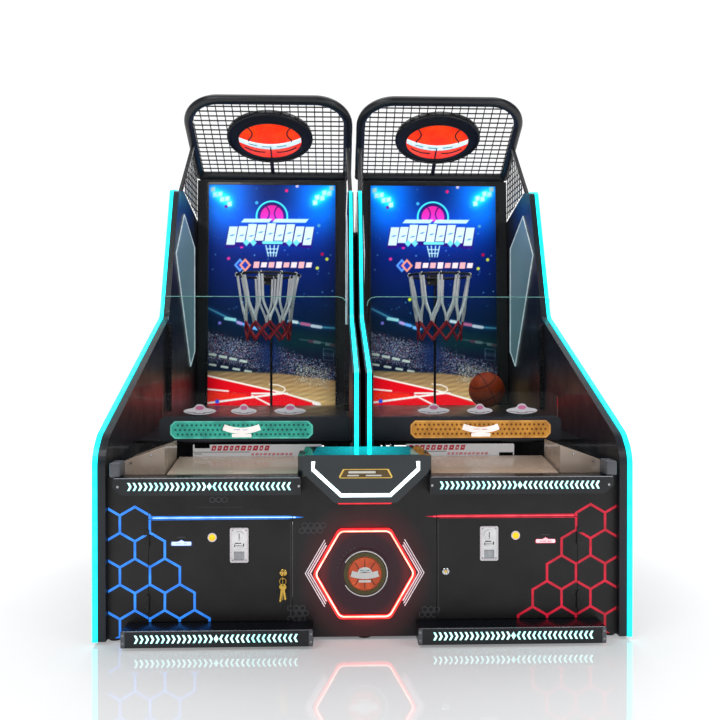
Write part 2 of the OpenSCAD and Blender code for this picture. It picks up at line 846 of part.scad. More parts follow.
module hoop_nets() {
    net_t = 8;
    top = rim_z - rim_tube_r - 1;
    steps = 6;
    zs = [for (i = [0:steps]) net_bottom_z + (top - net_bottom_z) * i / steps];
    color("#e8e8ea") both_sides() translate([lane_x, rim_y, 0]) rotate_extrude()
        polygon(concat([for (z = zs) [net_radius(z) + net_t / 2, z]],
                       backwards([for (z = zs) [net_radius(z) - net_t / 2, z]])));
}

/* ---------- screens ---------- */

housing_at = [896, 745];
housing_l = 1500;
housing_d = 90;
housing_in = divider_out + 3;
housing_out = side_in - 2;
screen_low = 51;
glass_t = 6;

module leaning() {
    translate([0, housing_at[0], housing_at[1]]) rotate([-screen_lean, 0, 0]) children();
}

module screen_housings() {
    color("#101114") both_sides() leaning() difference() {
        block([housing_in, 0, 0], [housing_out, housing_d, housing_l]);
        block([lane_x - screen_w / 2, -1, screen_low], [lane_x + screen_w / 2, 40, screen_low + screen_h]);
    }
}

module screen_panels() {
    color("#1450b0") both_sides() leaning()
        block([lane_x - screen_w / 2, 2, screen_low], [lane_x + screen_w / 2, 40, screen_low + screen_h]);
}

/* ---------- canopies ---------- */

canopy_rear = [985, 2273];           // Y and Z of the canopy's rear tube
canopy_front = [430, 2589];          // Y and Z of its front tube
canopy_run = norm(canopy_front - canopy_rear);
canopy_tilt = atan2(canopy_front.y - canopy_rear.y, canopy_rear.x - canopy_front.x);
canopy_x = 511;
canopy_half_w = 473;
canopy_corner_r = 195;
canopy_r = canopy_tube_d / 2;

// Local frame of a canopy: X across the lane, Y forwards up the slope from the rear tube
module on_canopy() {
    translate([canopy_x, canopy_rear.x, canopy_rear.y]) rotate([canopy_tilt, 0, 180]) children();
}

module canopy_frames() {
    straight = canopy_run - canopy_corner_r;
    color(BLACK) both_sides() {
        on_canopy() {
            for (s = [-1, 1]) {
                rod([s * canopy_half_w, 0, 0], [s * canopy_half_w, straight, 0], canopy_r);
                translate([s * (canopy_half_w - canopy_corner_r), straight, 0]) rotate([0, 0, s > 0 ? 0 : 90])
                    rotate_extrude(angle = 90) translate([canopy_corner_r, 0]) circle(r = canopy_r);
            }
            rod([canopy_corner_r - canopy_half_w, canopy_run, 0],
                [canopy_half_w - canopy_corner_r, canopy_run, 0], canopy_r);
            rod([-canopy_half_w, 0, 0], [canopy_half_w, 0, 0], canopy_r);
        }
        // struts that stand on the tops of the side panel and the divider
        difference() {
            rod([side_in + strut_r, strut_foot.x, strut_foot.y], [canopy_x + canopy_half_w, strut_top.x, strut_top.y], strut_r);
            plate_x(side_in, half_w) side_outline();
        }
        difference() {
            rod([(divider_in + divider_out) / 2, strut_foot.x, strut_foot.y],
                [canopy_x - canopy_half_w, strut_top.x, strut_top.y], strut_r);
            plate_x(divider_in, divider_out) divider_outline();
            divider_strip();
        }
    }
}

strut_r = 12;
strut_foot = [at(1556), 2050];
strut_top = canopy_front + (canopy_rear - canopy_front) * 0.56;

module wire_grid(width, height) {
    for (x = [0:mesh_pitch:width]) translate([x - wire_d / 2, 0]) square([wire_d, height]);
    for (y = [0:mesh_row_pitch:height]) translate([0, y - wire_d / 2]) square([width, wire_d]);
}

module canopy_meshes() {
    inner_w = canopy_half_w - canopy_r;
    inner_l = canopy_run - canopy_r;
    corner = canopy_corner_r - canopy_r;
    color("#2a2c30") both_sides() {
        on_canopy() linear_extrude(wire_d) difference() {
            intersection() {
                polygon(rounded_outline(
                    [[-inner_w, canopy_r], [inner_w, canopy_r], [inner_w, inner_l], [-inner_w, inner_l]],
                    [0, 0, corner, corner]));
                translate([-inner_w, canopy_r]) wire_grid(2 * inner_w, inner_l);
            }
            sign_outline();
            rib_outline();
        }
        // side meshes between the struts and the canopy tube
        for (x = [side_in - 4, divider_out + 4]) plate_x(x, x + wire_d) intersection() {
            polygon([[at(1612), 2080], strut_top + [4, -canopy_r - 11], canopy_rear + [-canopy_r - 6, -16],
                     [at(2055), 2000]]);
            translate([at(1560), 2000]) wire_grid(600, 480);
        }
    }
}

sign_size = [520, 410];
sign_at = 345;
sign_t = 24;

module sign_outline() {
    translate([0, sign_at]) scale([sign_size.x / sign_size.y, 1]) circle(d = sign_size.y, $fn = 96);
}

// Rib from the rear tube to the sign
module rib_outline() {
    translate([-9, canopy_r]) square([18, sign_at - sign_size.y / 2 + 4 - canopy_r]);
}

module canopy_signs() {
    color("#d8411f") both_sides() on_canopy() {
        translate([0, 0, -sign_t / 2]) linear_extrude(sign_t) sign_outline();
        translate([0, 0, -6]) linear_extrude(12) rib_outline();
    }
}

/* ---------- ball guards ---------- */

guard_y = at(1146);
guard_t = 8;
guard_z = [1020, 1427];
guard_step_z = 1326;
post_w = 24;
post_low_z = 820;

module ball_guards() {
    color([0.6, 0.85, 0.82, 0.3]) both_sides() plate_y(guard_y, guard_y + guard_t)
        polygon(rounded_outline(
            [[divider_out + 10, guard_z[0]], [side_in - 4, guard_z[0]], [side_in - 4, guard_step_z],
             [side_in + 30, guard_step_z], [side_in + 30, guard_z[1]], [divider_out + 10, guard_z[1]]],
            [0, 0, 0, 0, 12, 50]));
}

// Slotted posts that hold the guard's two sides
module guard_posts() {
    color(BLACK) both_sides() for (x = [divider_out, side_in - post_w]) difference() {
        block([x, guard_y + guard_t / 2 - post_w / 2, post_low_z],
              [x + post_w, guard_y + guard_t / 2 + post_w / 2, 1280]);
        block([x > 500 ? x - 1 : x + 10, guard_y, guard_z[0]],
              [x > 500 ? x + post_w - 4 : x + post_w + 1, guard_y + guard_t, 1281]);
    }
}

/* ---------- inside the cabinet ---------- */

module cash_boxes() {
    box_w = 200;
    wall = 2;
    color("#6d7278") both_sides() translate([380, -960, foot_h + tube]) {
        difference() {
            cube([box_w, 260, 190]);
            translate([wall, wall, wall]) cube([box_w - 2 * wall, 260 - 2 * wall, 190]);
        }
    }
    color("#6d7278") both_sides()
        block([20, -990, foot_h + tube - 4], [side_in - tube, -680, foot_h + tube]);
}

module control_box() {
    color("#50555c") difference() {
        block([-190, 150, foot_h + tube], [190, 430, foot_h + tube + 110]);
        for (i = [0:9])
            block([-120 + i * 26, 149, foot_h + tube + 30], [-108 + i * 26, 156, foot_h + tube + 80]);
    }
}

module power_supply() {
    color("#9ba1a8") difference() {
        block([-150, 700, foot_h + tube], [150, 860, foot_h + tube + 80]);
        for (i = [0:6], j = [0:2])
            translate([-110 + i * 36, 699, foot_h + tube + 20 + j * 20]) rotate([-90, 0, 0]) cylinder(h = 6, r = 4);
    }
}

inlet_at = [-820, 260];

module power_inlet() {
    color("#0d0d0d") translate([inlet_at[0], rear_y, inlet_at[1]]) difference() {
        union() {
            block([-30, 8, -36], [30, 12, 36]);
            block([-24, -34, -28], [24, 9, 28]);
        }
        block([-12, -12, -9], [12, 13, 9]);
    }
}

vent_count = 12;

module back_cover() {
    cover_t = 8;
    color(BLACK) difference() {
        union() {
            block([-half_w + 2, rear_y, foot_h + 4], [half_w - 2, rear_y + cover_t, rear_corner_z - 8]);
            for (x = [-700, 0, 700])
                block([x - 25, rear_y + cover_t, 120], [x + 25, -nose_y, 1840]);
        }
        for (s = [-1, 1], i = [0:vent_count - 1])
            block([s * 350 - 160, rear_y - 1, 500 + i * 40], [s * 350 + 160, rear_y + cover_t + 1, 512 + i * 40]);
        translate([inlet_at[0], rear_y, inlet_at[1]]) block([-24.5, -1, -28.5], [24.5, cover_t + 1, 28.5]);
    }
}

/* ---------- fasteners ---------- */

module button_screw(r = 5) {
    rotate([90, 0, 0]) difference() {
        cylinder(h = r * 0.6, r1 = r, r2 = r * 0.75, $fn = 24);
        translate([0, 0, r * 0.3]) cylinder(h = r, r = r * 0.4, $fn = 6);
    }
}

module fasteners() {
    color("#b9bdc2") both_sides() {
        for (p = [[850, 718], [930, 688]]) translate([p.x, cheek_y, p.y]) button_screw();
        for (x = [254, 936]) translate([x, rail_y, 620]) button_screw(6);
        for (x = [208, 917], z = [30, 60]) translate([x, lower_rail_y, z]) button_screw(5);
        for (z = hinge_zs, k = [0, 2])
            translate([hinge_x + 15, hinge_y + knuckle_r - leaf_t - 0.5, z + (k + 0.5) * knuckle_h]) button_screw(2.5);
        for (x = [-40, 40], z = [-24, 12])
            translate([lane_x + x, pole_y - pole_r - bracket_t, rim_z + z]) button_screw(6);
    }
}

/* ---------- nodes ---------- */

base_frame();
levelling_feet();
side_panel(-1);  // side_panel_left
side_panel(1);  // side_panel_right
divider_panels();
front_panel();
back_cover();
edge_lights();
blade_mirrors();
door_hinges();
console_housing();
console_light();
name_plate();
hexagon_light();
hexagon_sign();
guide_rails();
chevron_lights();
tray_floors();
riser_boards();
ramps();
gate_motors();
gate_guides();
hoop_poles();
hoop_rims();
hoop_nets();
screen_housings();
screen_panels();
canopy_frames();
canopy_meshes();
canopy_signs();
ball_guards();
guard_posts();
cash_boxes();
control_box();
power_supply();
power_inlet();
fasteners();
basketball();
service_door(-1);  // service_door_left
service_door(1);  // service_door_right
door_fittings(-1);  // door_fittings_left
door_fittings(1);  // door_fittings_right
coin_acceptor(-1);  // coin_acceptor_left
coin_acceptor(1);  // coin_acceptor_right
lock_plug(-1);  // lock_plug_left
lock_plug(1);  // lock_plug_right
start_button(-1);  // start_button_left
start_button(1);  // start_button_right
coin_return_button(-1);  // coin_return_button_left
coin_return_button(1);  // coin_return_button_right
coin_return_flap(-1);  // coin_return_flap_left
coin_return_flap(1);  // coin_return_flap_right
gate_beam(-1);  // gate_beam_left
gate_beam(1);  // gate_beam_right
gate_grille(-1);  // gate_grille_left
gate_grille(1);  // gate_grille_right
gate_window(-1);  // gate_window_left
gate_window(1);  // gate_window_right
gate_pinion(-1);  // gate_pinion_left
gate_pinion(1);  // gate_pinion_right
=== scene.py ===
"""Looks for the two-lane basketball arcade machine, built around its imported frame.

Lengths are in metres in the machine's own frame: +X to the player's right, +Y to
the back, +Z up, the origin on the floor in the middle of the footprint.
"""

import math
import random

import bmesh
import bpy
import numpy as np
from mathutils import Matrix, Vector


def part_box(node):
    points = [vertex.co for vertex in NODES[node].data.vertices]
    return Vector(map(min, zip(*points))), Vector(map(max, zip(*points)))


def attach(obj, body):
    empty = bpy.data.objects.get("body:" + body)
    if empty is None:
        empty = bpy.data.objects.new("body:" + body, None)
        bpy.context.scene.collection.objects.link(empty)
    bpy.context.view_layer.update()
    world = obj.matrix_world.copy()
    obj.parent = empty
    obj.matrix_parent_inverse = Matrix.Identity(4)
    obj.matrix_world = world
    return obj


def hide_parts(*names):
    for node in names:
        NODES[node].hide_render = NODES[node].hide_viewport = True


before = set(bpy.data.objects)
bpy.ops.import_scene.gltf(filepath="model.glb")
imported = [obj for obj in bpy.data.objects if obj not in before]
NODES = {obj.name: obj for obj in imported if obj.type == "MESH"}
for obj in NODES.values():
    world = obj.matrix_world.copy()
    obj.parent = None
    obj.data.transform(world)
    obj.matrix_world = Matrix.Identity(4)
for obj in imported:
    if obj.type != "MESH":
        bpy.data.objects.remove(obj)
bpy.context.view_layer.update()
SIDES = (("left", -1), ("right", 1))
LANE_X = 0.520                       # a lane's middle from the machine's middle
FRONT_Y = -1.070                     # face of the front panel and the service doors
HEX_Z = 0.262                        # height of the lit hexagon's middle
HINGE_SCREW_X = 0.858                # a row of screws on the fixed leaf of a door's hinge
DOOR_X = (0.284, 0.842)              # a service door, from its free edge to its hinge
DOOR_Z = (0.078, 0.478)
DOOR_GAP = 0.002                     # left clear of prints on either side of a door's edge
LOCK_X, LOCK_Z = 0.319, 0.266
EYE = (-0.117, -4.20, 1.118)
EYE_TURN = (89.64, 0.0, -1.80)       # degrees
LENS = 39.95                         # millimetres, on a sensor 36 wide


# ---------------------------------------------------------------- camera and light

def make_camera():
    """A player's eye a few steps in front of the machine, a little left of its middle."""
    camera = bpy.data.cameras.new("camera")
    camera.lens = LENS
    camera.sensor_width = 36.0
    camera.clip_end = 60
    eye = bpy.data.objects.new("camera", camera)
    eye.location = EYE
    eye.rotation_euler = [math.radians(turn) for turn in EYE_TURN]
    bpy.context.scene.collection.objects.link(eye)
    bpy.context.scene.camera = eye


def area_light(name, place, aim, size, watts):
    lamp = bpy.data.lights.new(name, "AREA")
    lamp.shape = "RECTANGLE"
    lamp.size, lamp.size_y = size
    lamp.energy = watts
    obj = bpy.data.objects.new(name, lamp)
    obj.location = place
    obj.rotation_mode = "QUATERNION"
    obj.rotation_quaternion = (Vector(aim) - Vector(place)).to_track_quat("-Z", "Y")
    bpy.context.scene.collection.objects.link(obj)


def make_studio():
    """Bright plain backdrop with soft lamps that leave the dark cabinet dark."""
    scene = bpy.context.scene
    scene.view_settings.view_transform = "Standard"
    world = bpy.data.worlds.new("studio")
    scene.world = world
    world.use_nodes = True
    nodes, links = world.node_tree.nodes, world.node_tree.links
    nodes.clear()
    seen = nodes.new("ShaderNodeBackground")
    seen.inputs["Color"].default_value = (1, 1, 1, 1)
    seen.inputs["Strength"].default_value = 1.0
    lighting = nodes.new("ShaderNodeBackground")
    lighting.inputs["Color"].default_value = (0.92, 0.95, 1, 1)
    lighting.inputs["Strength"].default_value = 0.19
    path = nodes.new("ShaderNodeLightPath")
    mix = nodes.new("ShaderNodeMixShader")
    out = nodes.new("ShaderNodeOutputWorld")
    links.new(path.outputs["Is Camera Ray"], mix.inputs["Fac"])
    links.new(lighting.outputs[0], mix.inputs[1])
    links.new(seen.outputs[0], mix.inputs[2])
    links.new(mix.outputs[0], out.inputs["Surface"])
    area_light("key", (-2.6, -4.2, 4.6), (0, 0, 1.0), (3.0, 2.0), 85)
    area_light("fill", (3.4, -3.6, 3.0), (0, 0, 0.9), (2.5, 2.5), 50)
    area_light("top", (0, 0.6, 5.0), (0, 0.2, 0.8), (4.0, 3.0), 75)
    area_light("back", (0, 5.0, 3.5), (0, 0.8, 1.4), (4.0, 2.0), 120)


# ---------------------------------------------------------------- material building

class Material:
    """A Principled material with short calls for the procedural nodes used here."""

    def __init__(self, name="finish", **sockets):
        self.mat = bpy.data.materials.new(name)
        self.mat.use_nodes = True
        self.tree = self.mat.node_tree
        self.bsdf = self.tree.nodes["Principled BSDF"]
        for socket, value in sockets.items():
            self.set(socket.replace("_", " "), value)

    def set(self, socket, value):
        if isinstance(value, tuple) and len(value) == 3:
            value = (*value, 1)
        self.bsdf.inputs[socket].default_value = value

    def node(self, kind, **props):
        made = self.tree.nodes.new(kind)
        for key, value in props.items():
            setattr(made, key, value)
        return made

    def link(self, source, target):
        self.tree.links.new(source, target)

    def coords(self, stretch=(1, 1, 1)):
        """Metres in the machine's frame, scaled along each axis."""
        place = self.node("ShaderNodeTexCoord")
        mapping = self.node("ShaderNodeMapping")
        mapping.inputs["Scale"].default_value = stretch
        self.link(place.outputs["Object"], mapping.inputs["Vector"])
        return mapping.outputs["Vector"]

    def noise(self, scale, detail=3.0, stretch=(1, 1, 1), roughness=0.55):
        made = self.node("ShaderNodeTexNoise")
        made.inputs["Scale"].default_value = scale
        made.inputs["Detail"].default_value = detail
        made.inputs["Roughness"].default_value = roughness
        self.link(self.coords(stretch), made.inputs["Vector"])
        return made.outputs["Fac"]

    def ramp(self, value, *stops):
        made = self.node("ShaderNodeValToRGB")
        elements = made.color_ramp.elements
        while len(elements) < len(stops):
            elements.new(0.5)
        for element, (place, color) in zip(elements, stops):
            element.position = place
            element.color = (*color, 1)
        self.link(value, made.inputs["Fac"])
        return made.outputs["Color"]

    def spread(self, value, low, high, start=0.3, end=0.7):
        made = self.node("ShaderNodeMapRange")
        for socket, number in (("From Min", start), ("From Max", end), ("To Min", low), ("To Max", high)):
            made.inputs[socket].default_value = number
        self.link(value, made.inputs["Value"])
        return made.outputs["Result"]

    def mix(self, amount, first, second):
        made = self.node("ShaderNodeMix", data_type="RGBA")
        for socket, value in ((0, amount), (6, first), (7, second)):
            if isinstance(value, tuple):
                made.inputs[socket].default_value = (*value, 1)
            elif isinstance(value, float):
                made.inputs[socket].default_value = value
            else:
                self.link(value, made.inputs[socket])
        return made.outputs[2]

    def math(self, operation, first, second=None):
        made = self.node("ShaderNodeMath", operation=operation)
        for i, value in enumerate((first, second)):
            if value is None:
                continue
            if isinstance(value, (int, float)):
                made.inputs[i].default_value = value
            else:
                self.link(value, made.inputs[i])
        return made.outputs["Value"]

    def color(self, output):
        self.link(output, self.bsdf.inputs["Base Color"])

    def rough(self, output):
        self.link(output, self.bsdf.inputs["Roughness"])

    def glow(self, output, strength):
        self.bsdf.inputs["Emission Strength"].default_value = strength
        self.link(output, self.bsdf.inputs["Emission Color"])

    def bump(self, height, strength=0.2, distance=0.0005):
        made = self.node("ShaderNodeBump")
        made.inputs["Strength"].default_value = strength
        made.inputs["Distance"].default_value = distance
        self.link(height, made.inputs["Height"])
        self.link(made.outputs["Normal"], self.bsdf.inputs["Normal"])


def shade(color, factor):
    """A colour made darker or brighter."""
    return tuple(min(1.0, c * factor) for c in color)


def surface(color, rough=0.45, vary=0.15, patch=5.0, grain=0.15, grain_size=0.0012, **sockets):
    """Everyday finish: patchy colour and gloss, with a fine grain in the bump."""
    made = Material(**sockets)
    made.color(made.ramp(made.noise(patch, 4), (0.3, shade(color, 1 - vary)), (0.7, shade(color, 1 + vary))))
    made.rough(made.spread(made.noise(patch * 2.7, 5), rough - 0.08, rough + 0.08))
    made.bump(made.noise(0.35 / grain_size, 2), grain, 0.0004)
    return made.mat


def powder_coat(color, edge, dull, rough, **sockets):
    """An orange-peel skin with fine pale scuffs, its roughness running from dull to rough."""
    made = Material(**sockets)
    scratches = made.noise(60, 6, (1, 1, 9), 0.7)
    made.color(made.mix(made.spread(scratches, 0, 1, 0.62, 0.72), color, edge))
    made.rough(made.spread(made.noise(9, 5), dull, rough))
    made.bump(made.noise(420, 3), 0.18, 0.0004)
    return made


def scuffed(color, rough, edge, **sockets):
    return powder_coat(color, edge, rough - 0.07, rough + 0.1, **sockets).mat


def metal(color, rough, stretch=(1, 1, 1), grain=0.1):
    """Bare or plated metal with smudges, brushed along the axis that isn't stretched."""
    made = Material(Metallic=1.0)
    made.color(made.ramp(made.noise(14, 4), (0.3, shade(color, 0.86)), (0.7, shade(color, 1.06))))
    made.rough(made.spread(made.noise(35, 5, stretch), rough * 0.6, rough * 1.5))
    made.bump(made.noise(300, 2, stretch), grain, 0.0002)
    return made.mat


def lit(core, rim, strength, spot=0.0167):
    """A diffuser over a row of lamps: brightest over each lamp, spot apart. Parts that are no lamps use it
    too, for a painted reflection or highlight.
    """
    made = Material(Roughness=0.35)
    cells = made.noise(0.35 / spot, 1)
    made.color(made.ramp(cells, (0.3, shade(rim, 0.8)), (0.7, core)))
    made.glow(made.ramp(cells, (0.25, rim), (0.75, core)), strength)
    return made.mat


def acrylic(color):
    """Clear sheet with faint wiping marks."""
    made = Material(Transmission_Weight=1.0, IOR=1.14)
    made.color(made.ramp(made.noise(6, 3), (0.3, shade(color, 0.97)), (0.7, color)))
    made.rough(made.spread(made.noise(25, 5), 0.006, 0.012))
    return made.mat


def sign_ball_finish():
    """Glossy orange-red, lit from inside."""
    made = Material(Roughness=0.28, Coat_Weight=0.4)
    tone = made.ramp(made.noise(9, 4), (0.3, (0.78, 0.020, 0.006)), (0.7, (0.98, 0.055, 0.006)))
    made.color(tone)
    made.glow(tone, 0.8)
    made.rough(made.spread(made.noise(40, 3), 0.22, 0.36))
    made.bump(made.noise(700, 2), 0.12, 0.0003)
    return made.mat


def away_from(made, middle, stretch=(1, 1, 1)):
    """Distance from a point in the machine's frame, each axis scaled first."""
    place = made.node("ShaderNodeTexCoord")
    shift = made.node("ShaderNodeVectorMath", operation="SUBTRACT")
    shift.inputs[1].default_value = middle
    scale = made.node("ShaderNodeVectorMath", operation="MULTIPLY")
    scale.inputs[1].default_value = stretch
    length = made.node("ShaderNodeVectorMath", operation="LENGTH")
    made.link(place.outputs["Object"], shift.inputs[0])
    made.link(shift.outputs[0], scale.inputs[0])
    made.link(scale.outputs[0], length.inputs[0])
    return length.outputs["Value"]


def glowing_front():
    """The front's powder coat, washed with red light round the neon hexagon."""
    made = powder_coat((0.009, 0.007, 0.008), (0.024, 0.021, 0.023), 0.36, 0.5)
    reach = made.math("MULTIPLY", away_from(made, (0, 0, HEX_Z), (1.12, 0, 1.0)), 2.0)
    made.glow(made.ramp(reach, (0.30, (0.020, 0.001, 0.006)), (0.37, (0.10, 0.003, 0.006)),
                        (0.43, (0.034, 0.0015, 0.003)), (0.60, (0, 0, 0))), 1.0)
    return made.mat


def console_glow():
    """Console top lit by the strips that rise from it."""
    made = Material(Roughness=0.1)
    reach = made.math("MULTIPLY", away_from(made, (0, -0.90, 0.74), (1, 0.35, 1)), 4.0)
    cells = made.noise(38, 3, (1, 4, 1))
    made.color(made.mix(made.spread(cells, 0, 1, 0.42, 0.60), (0.0, 0.22, 0.26), (0.01, 0.46, 0.52)))
    fade = made.ramp(reach, (0.10, (0, 0, 0)), (0.75, (1, 1, 1)))
    made.glow(made.mix(fade, (0.005, 0.50, 0.56), (0.0, 0.030, 0.038)), 0.9)
    made.rough(made.spread(cells, 0.08, 0.2))
    return made.mat


def screw_finish():
    """Zinc-plated screws, blackened on the hinges."""
    made = Material(Metallic=1.0)
    place = made.node("ShaderNodeTexCoord")
    axes = made.node("ShaderNodeSeparateXYZ")
    made.link(place.outputs["Object"], axes.inputs[0])
    from_middle = made.math("ABSOLUTE", axes.outputs[0])
    off_seam = made.math("ABSOLUTE", made.math("SUBTRACT", from_middle, HINGE_SCREW_X))
    on_hinge = made.math("MULTIPLY", made.math("LESS_THAN", off_seam, 0.006),
                         made.math("LESS_THAN", axes.outputs[2], DOOR_Z[1]))
    smudge = made.ramp(made.noise(14, 4), (0.3, (0.43, 0.43, 0.45)), (0.7, (0.53, 0.53, 0.55)))
    made.color(made.mix(on_hinge, smudge, (0.03, 0.03, 0.03)))
    made.rough(made.spread(made.noise(35, 5), 0.2, 0.4))
    return made.mat


FINISHES = {}


def make_materials():
    """Every finish by name."""
    finishes = {
        "cabinet": scuffed((0.008, 0.011, 0.017), 0.38, (0.024, 0.029, 0.038), Coat_Weight=0.06),
        "front": glowing_front(),
        "door": scuffed((0.009, 0.007, 0.008), 0.46, (0.024, 0.021, 0.023)),
        "hinge": scuffed((0.010, 0.010, 0.011), 0.4, (0.03, 0.03, 0.03)),
        "console_glow": console_glow(),
        "rear": scuffed((0.02, 0.021, 0.023), 0.55, (0.05, 0.05, 0.055)),
        "frame": scuffed((0.02, 0.02, 0.022), 0.5, (0.08, 0.08, 0.085)),
        "console": scuffed((0.002, 0.010, 0.014), 0.12, (0.008, 0.020, 0.025), Coat_Weight=0.3),
        "rail": scuffed((0.003, 0.005, 0.009), 0.28, (0.02, 0.024, 0.03), Coat_Weight=0.1),
        "canopy": scuffed((0.012, 0.013, 0.017), 0.34, (0.03, 0.03, 0.034)),
        "wire": scuffed((0.03, 0.03, 0.033), 0.4, (0.10, 0.10, 0.11)),
        "hoop": scuffed((0.012, 0.012, 0.014), 0.35, (0.06, 0.06, 0.06)),
        "screen_case": scuffed((0.007, 0.008, 0.011), 0.5, (0.02, 0.02, 0.025)),
        "post": metal((0.05, 0.052, 0.058), 0.3, (1, 1, 8)),
        "gate": scuffed((0.018, 0.021, 0.030), 0.34, (0.05, 0.055, 0.065), Metallic=0.3),
        "rubber": surface((0.018, 0.018, 0.018), 0.75, grain=0.4),
        "inlet": surface((0.02, 0.02, 0.021), 0.5, grain=0.3),
        "electronics": scuffed((0.16, 0.17, 0.19), 0.45, (0.3, 0.3, 0.31)),
        "zinc": metal((0.42, 0.43, 0.45), 0.3, (6, 1, 1)),
        "machined": metal((0.56, 0.57, 0.59), 0.25, (1, 1, 10)),
        "chrome": metal((0.74, 0.75, 0.78), 0.10, grain=0.03),
        "cast_chrome": metal((0.78, 0.77, 0.79), 0.22, grain=0.25),
        "brass": metal((0.86, 0.58, 0.14), 0.18, grain=0.05),
        "screw": screw_finish(),
        "tray": surface((0.50, 0.39, 0.31), 0.24, vary=0.10, patch=3, Coat_Weight=0.3),
        "ramp": surface((0.014, 0.015, 0.018), 0.35, vary=0.3),
        "white_board": surface((0.82, 0.82, 0.84), 0.35, vary=0.03),
        "white_plastic": surface((0.86, 0.86, 0.86), 0.3, vary=0.03),
        "cyan_light": lit((0.01, 0.86, 0.92), (0.0, 0.78, 0.85), 2.4),
        "white_light": lit((0.92, 1.0, 1.0), (0.70, 0.95, 1.0), 2.4),
        "chevron_light": lit((0.62, 1.0, 0.95), (0.35, 0.88, 0.85), 1.5),
        "neon_core": lit((1.0, 0.55, 0.45), (1.0, 0.28, 0.18), 2.6),
        "neon_glow": lit((1.0, 0.03, 0.02), (0.85, 0.01, 0.02), 1.6),
        "red_line": lit((1.0, 0.02, 0.04), (0.75, 0.01, 0.02), 0.9),
        "hex_blue": lit((0.03, 0.24, 0.86), (0.015, 0.16, 0.66), 0.9),
        "hex_red": lit((0.52, 0.006, 0.030), (0.36, 0.004, 0.018), 0.8),
        "start_light": lit((1.0, 0.44, 0.01), (1.0, 0.28, 0.0), 1.3),
        "guard": acrylic((0.86, 0.97, 0.95)),
        "guard_edge": lit((0.22, 0.48, 0.43), (0.12, 0.32, 0.29), 0.35),
        "window": acrylic((0.93, 0.97, 0.98)),
        # the blade mirrors' dull teal glow in large patches is a painted reflection
        "mirror": lit((0.13, 0.22, 0.25), (0.07, 0.13, 0.155), 0.62, 0.35),
        # the pale glow of the blade borders is a painted highlight along the mirrors' bevelled edges
        "blade_line": lit((0.62, 0.72, 0.76), (0.42, 0.52, 0.56), 0.6),
        "gold": surface((0.82, 0.52, 0.08), 0.26, vary=0.2, Metallic=0.55),
        "coin_plate": surface((0.86, 0.78, 0.82), 0.3, vary=0.08, grain=0.3, Metallic=0.35),
        "cord_white": surface((0.86, 0.87, 0.90), 0.6, grain=0.6, grain_size=0.002),
        "cord_red": surface((0.42, 0.015, 0.03), 0.7, grain=0.6, grain_size=0.002),
        "line_core_blue": lit((0.55, 0.80, 1.0), (0.35, 0.65, 1.0), 1.2),
        "line_core_red": lit((1.0, 0.10, 0.12), (0.85, 0.04, 0.08), 1.0),
        "chevron_print": lit((0.95, 0.86, 0.90), (0.80, 0.68, 0.74), 0.4),
        "grey_print": surface((0.075, 0.078, 0.085), 0.5, vary=0.2),
        "fold_line": surface((0.055, 0.056, 0.06), 0.4, vary=0.2),
        "ribbon_white": lit((1.0, 0.95, 0.92), (0.92, 0.84, 0.80), 0.6),
        "ring_white": surface((0.80, 0.80, 0.78), 0.35, vary=0.05),
        "sign_olive": surface((0.10, 0.085, 0.02), 0.4, vary=0.25),
        "sign_amber": surface((0.60, 0.24, 0.03), 0.4),
        "sign_orange": lit((0.62, 0.09, 0.02), (0.42, 0.05, 0.01), 0.35),
        "sign_black": surface((0.010, 0.010, 0.013), 0.3, vary=0.2),
        "sign_ball": sign_ball_finish(),
        "screen_picture": screen_finish(),
        "ball_rubber": ball_finish(),
        "sign_ribbon": lit((0.85, 0.95, 1.0), (0.62, 0.86, 0.92), 0.7),
        "sign_teal": surface((0.02, 0.35, 0.42), 0.4),
        "slot_black": surface((0.006, 0.006, 0.007), 0.5, vary=0.2),
        "label_blue": surface((0.10, 0.24, 0.72), 0.4),
        "label_red": surface((0.72, 0.05, 0.10), 0.4),
        "label_blue_face": lit((0.66, 0.80, 1.0), (0.52, 0.70, 0.98), 0.75),
        "label_red_face": lit((1.0, 0.66, 0.70), (1.0, 0.50, 0.56), 0.75),
        "badge_dark": surface((0.13, 0.075, 0.02), 0.35, vary=0.25),
        "badge_bar": surface((0.80, 0.78, 0.70), 0.35, vary=0.08),
        "rail_lip": metal((0.35, 0.37, 0.40), 0.22, (8, 1, 1)),
        "rail_cap": scuffed((0.12, 0.125, 0.14), 0.35, (0.25, 0.25, 0.27)),
        "bezel": scuffed((0.006, 0.006, 0.008), 0.25, (0.02, 0.02, 0.022), Coat_Weight=0.4),
        "lamp_teal": lit((0.008, 0.13, 0.10), (0.004, 0.08, 0.06), 0.5),
        "lamp_amber": lit((0.20, 0.06, 0.005), (0.12, 0.035, 0.003), 0.5),
        "edge_teal": lit((0.20, 0.60, 0.50), (0.10, 0.42, 0.35), 0.6),
        "edge_amber": lit((0.72, 0.42, 0.16), (0.50, 0.26, 0.08), 0.6),
        "grille_teal": lit((0.03, 0.34, 0.26), (0.015, 0.22, 0.17), 0.7),
        "grille_amber": lit((0.50, 0.23, 0.03), (0.34, 0.14, 0.015), 0.7),
        "badge_white": surface((0.78, 0.76, 0.80), 0.3, vary=0.06),
        "badge_pink": surface((0.72, 0.18, 0.38), 0.4, vary=0.2),
        "badge_grey": surface((0.16, 0.13, 0.17), 0.4),
        "riser_red": surface((0.62, 0.02, 0.05), 0.4, vary=0.12),
        "riser_pale_red": surface((0.72, 0.28, 0.30), 0.4, vary=0.12),
    }
    for name, material in finishes.items():
        material.name = name
    return finishes


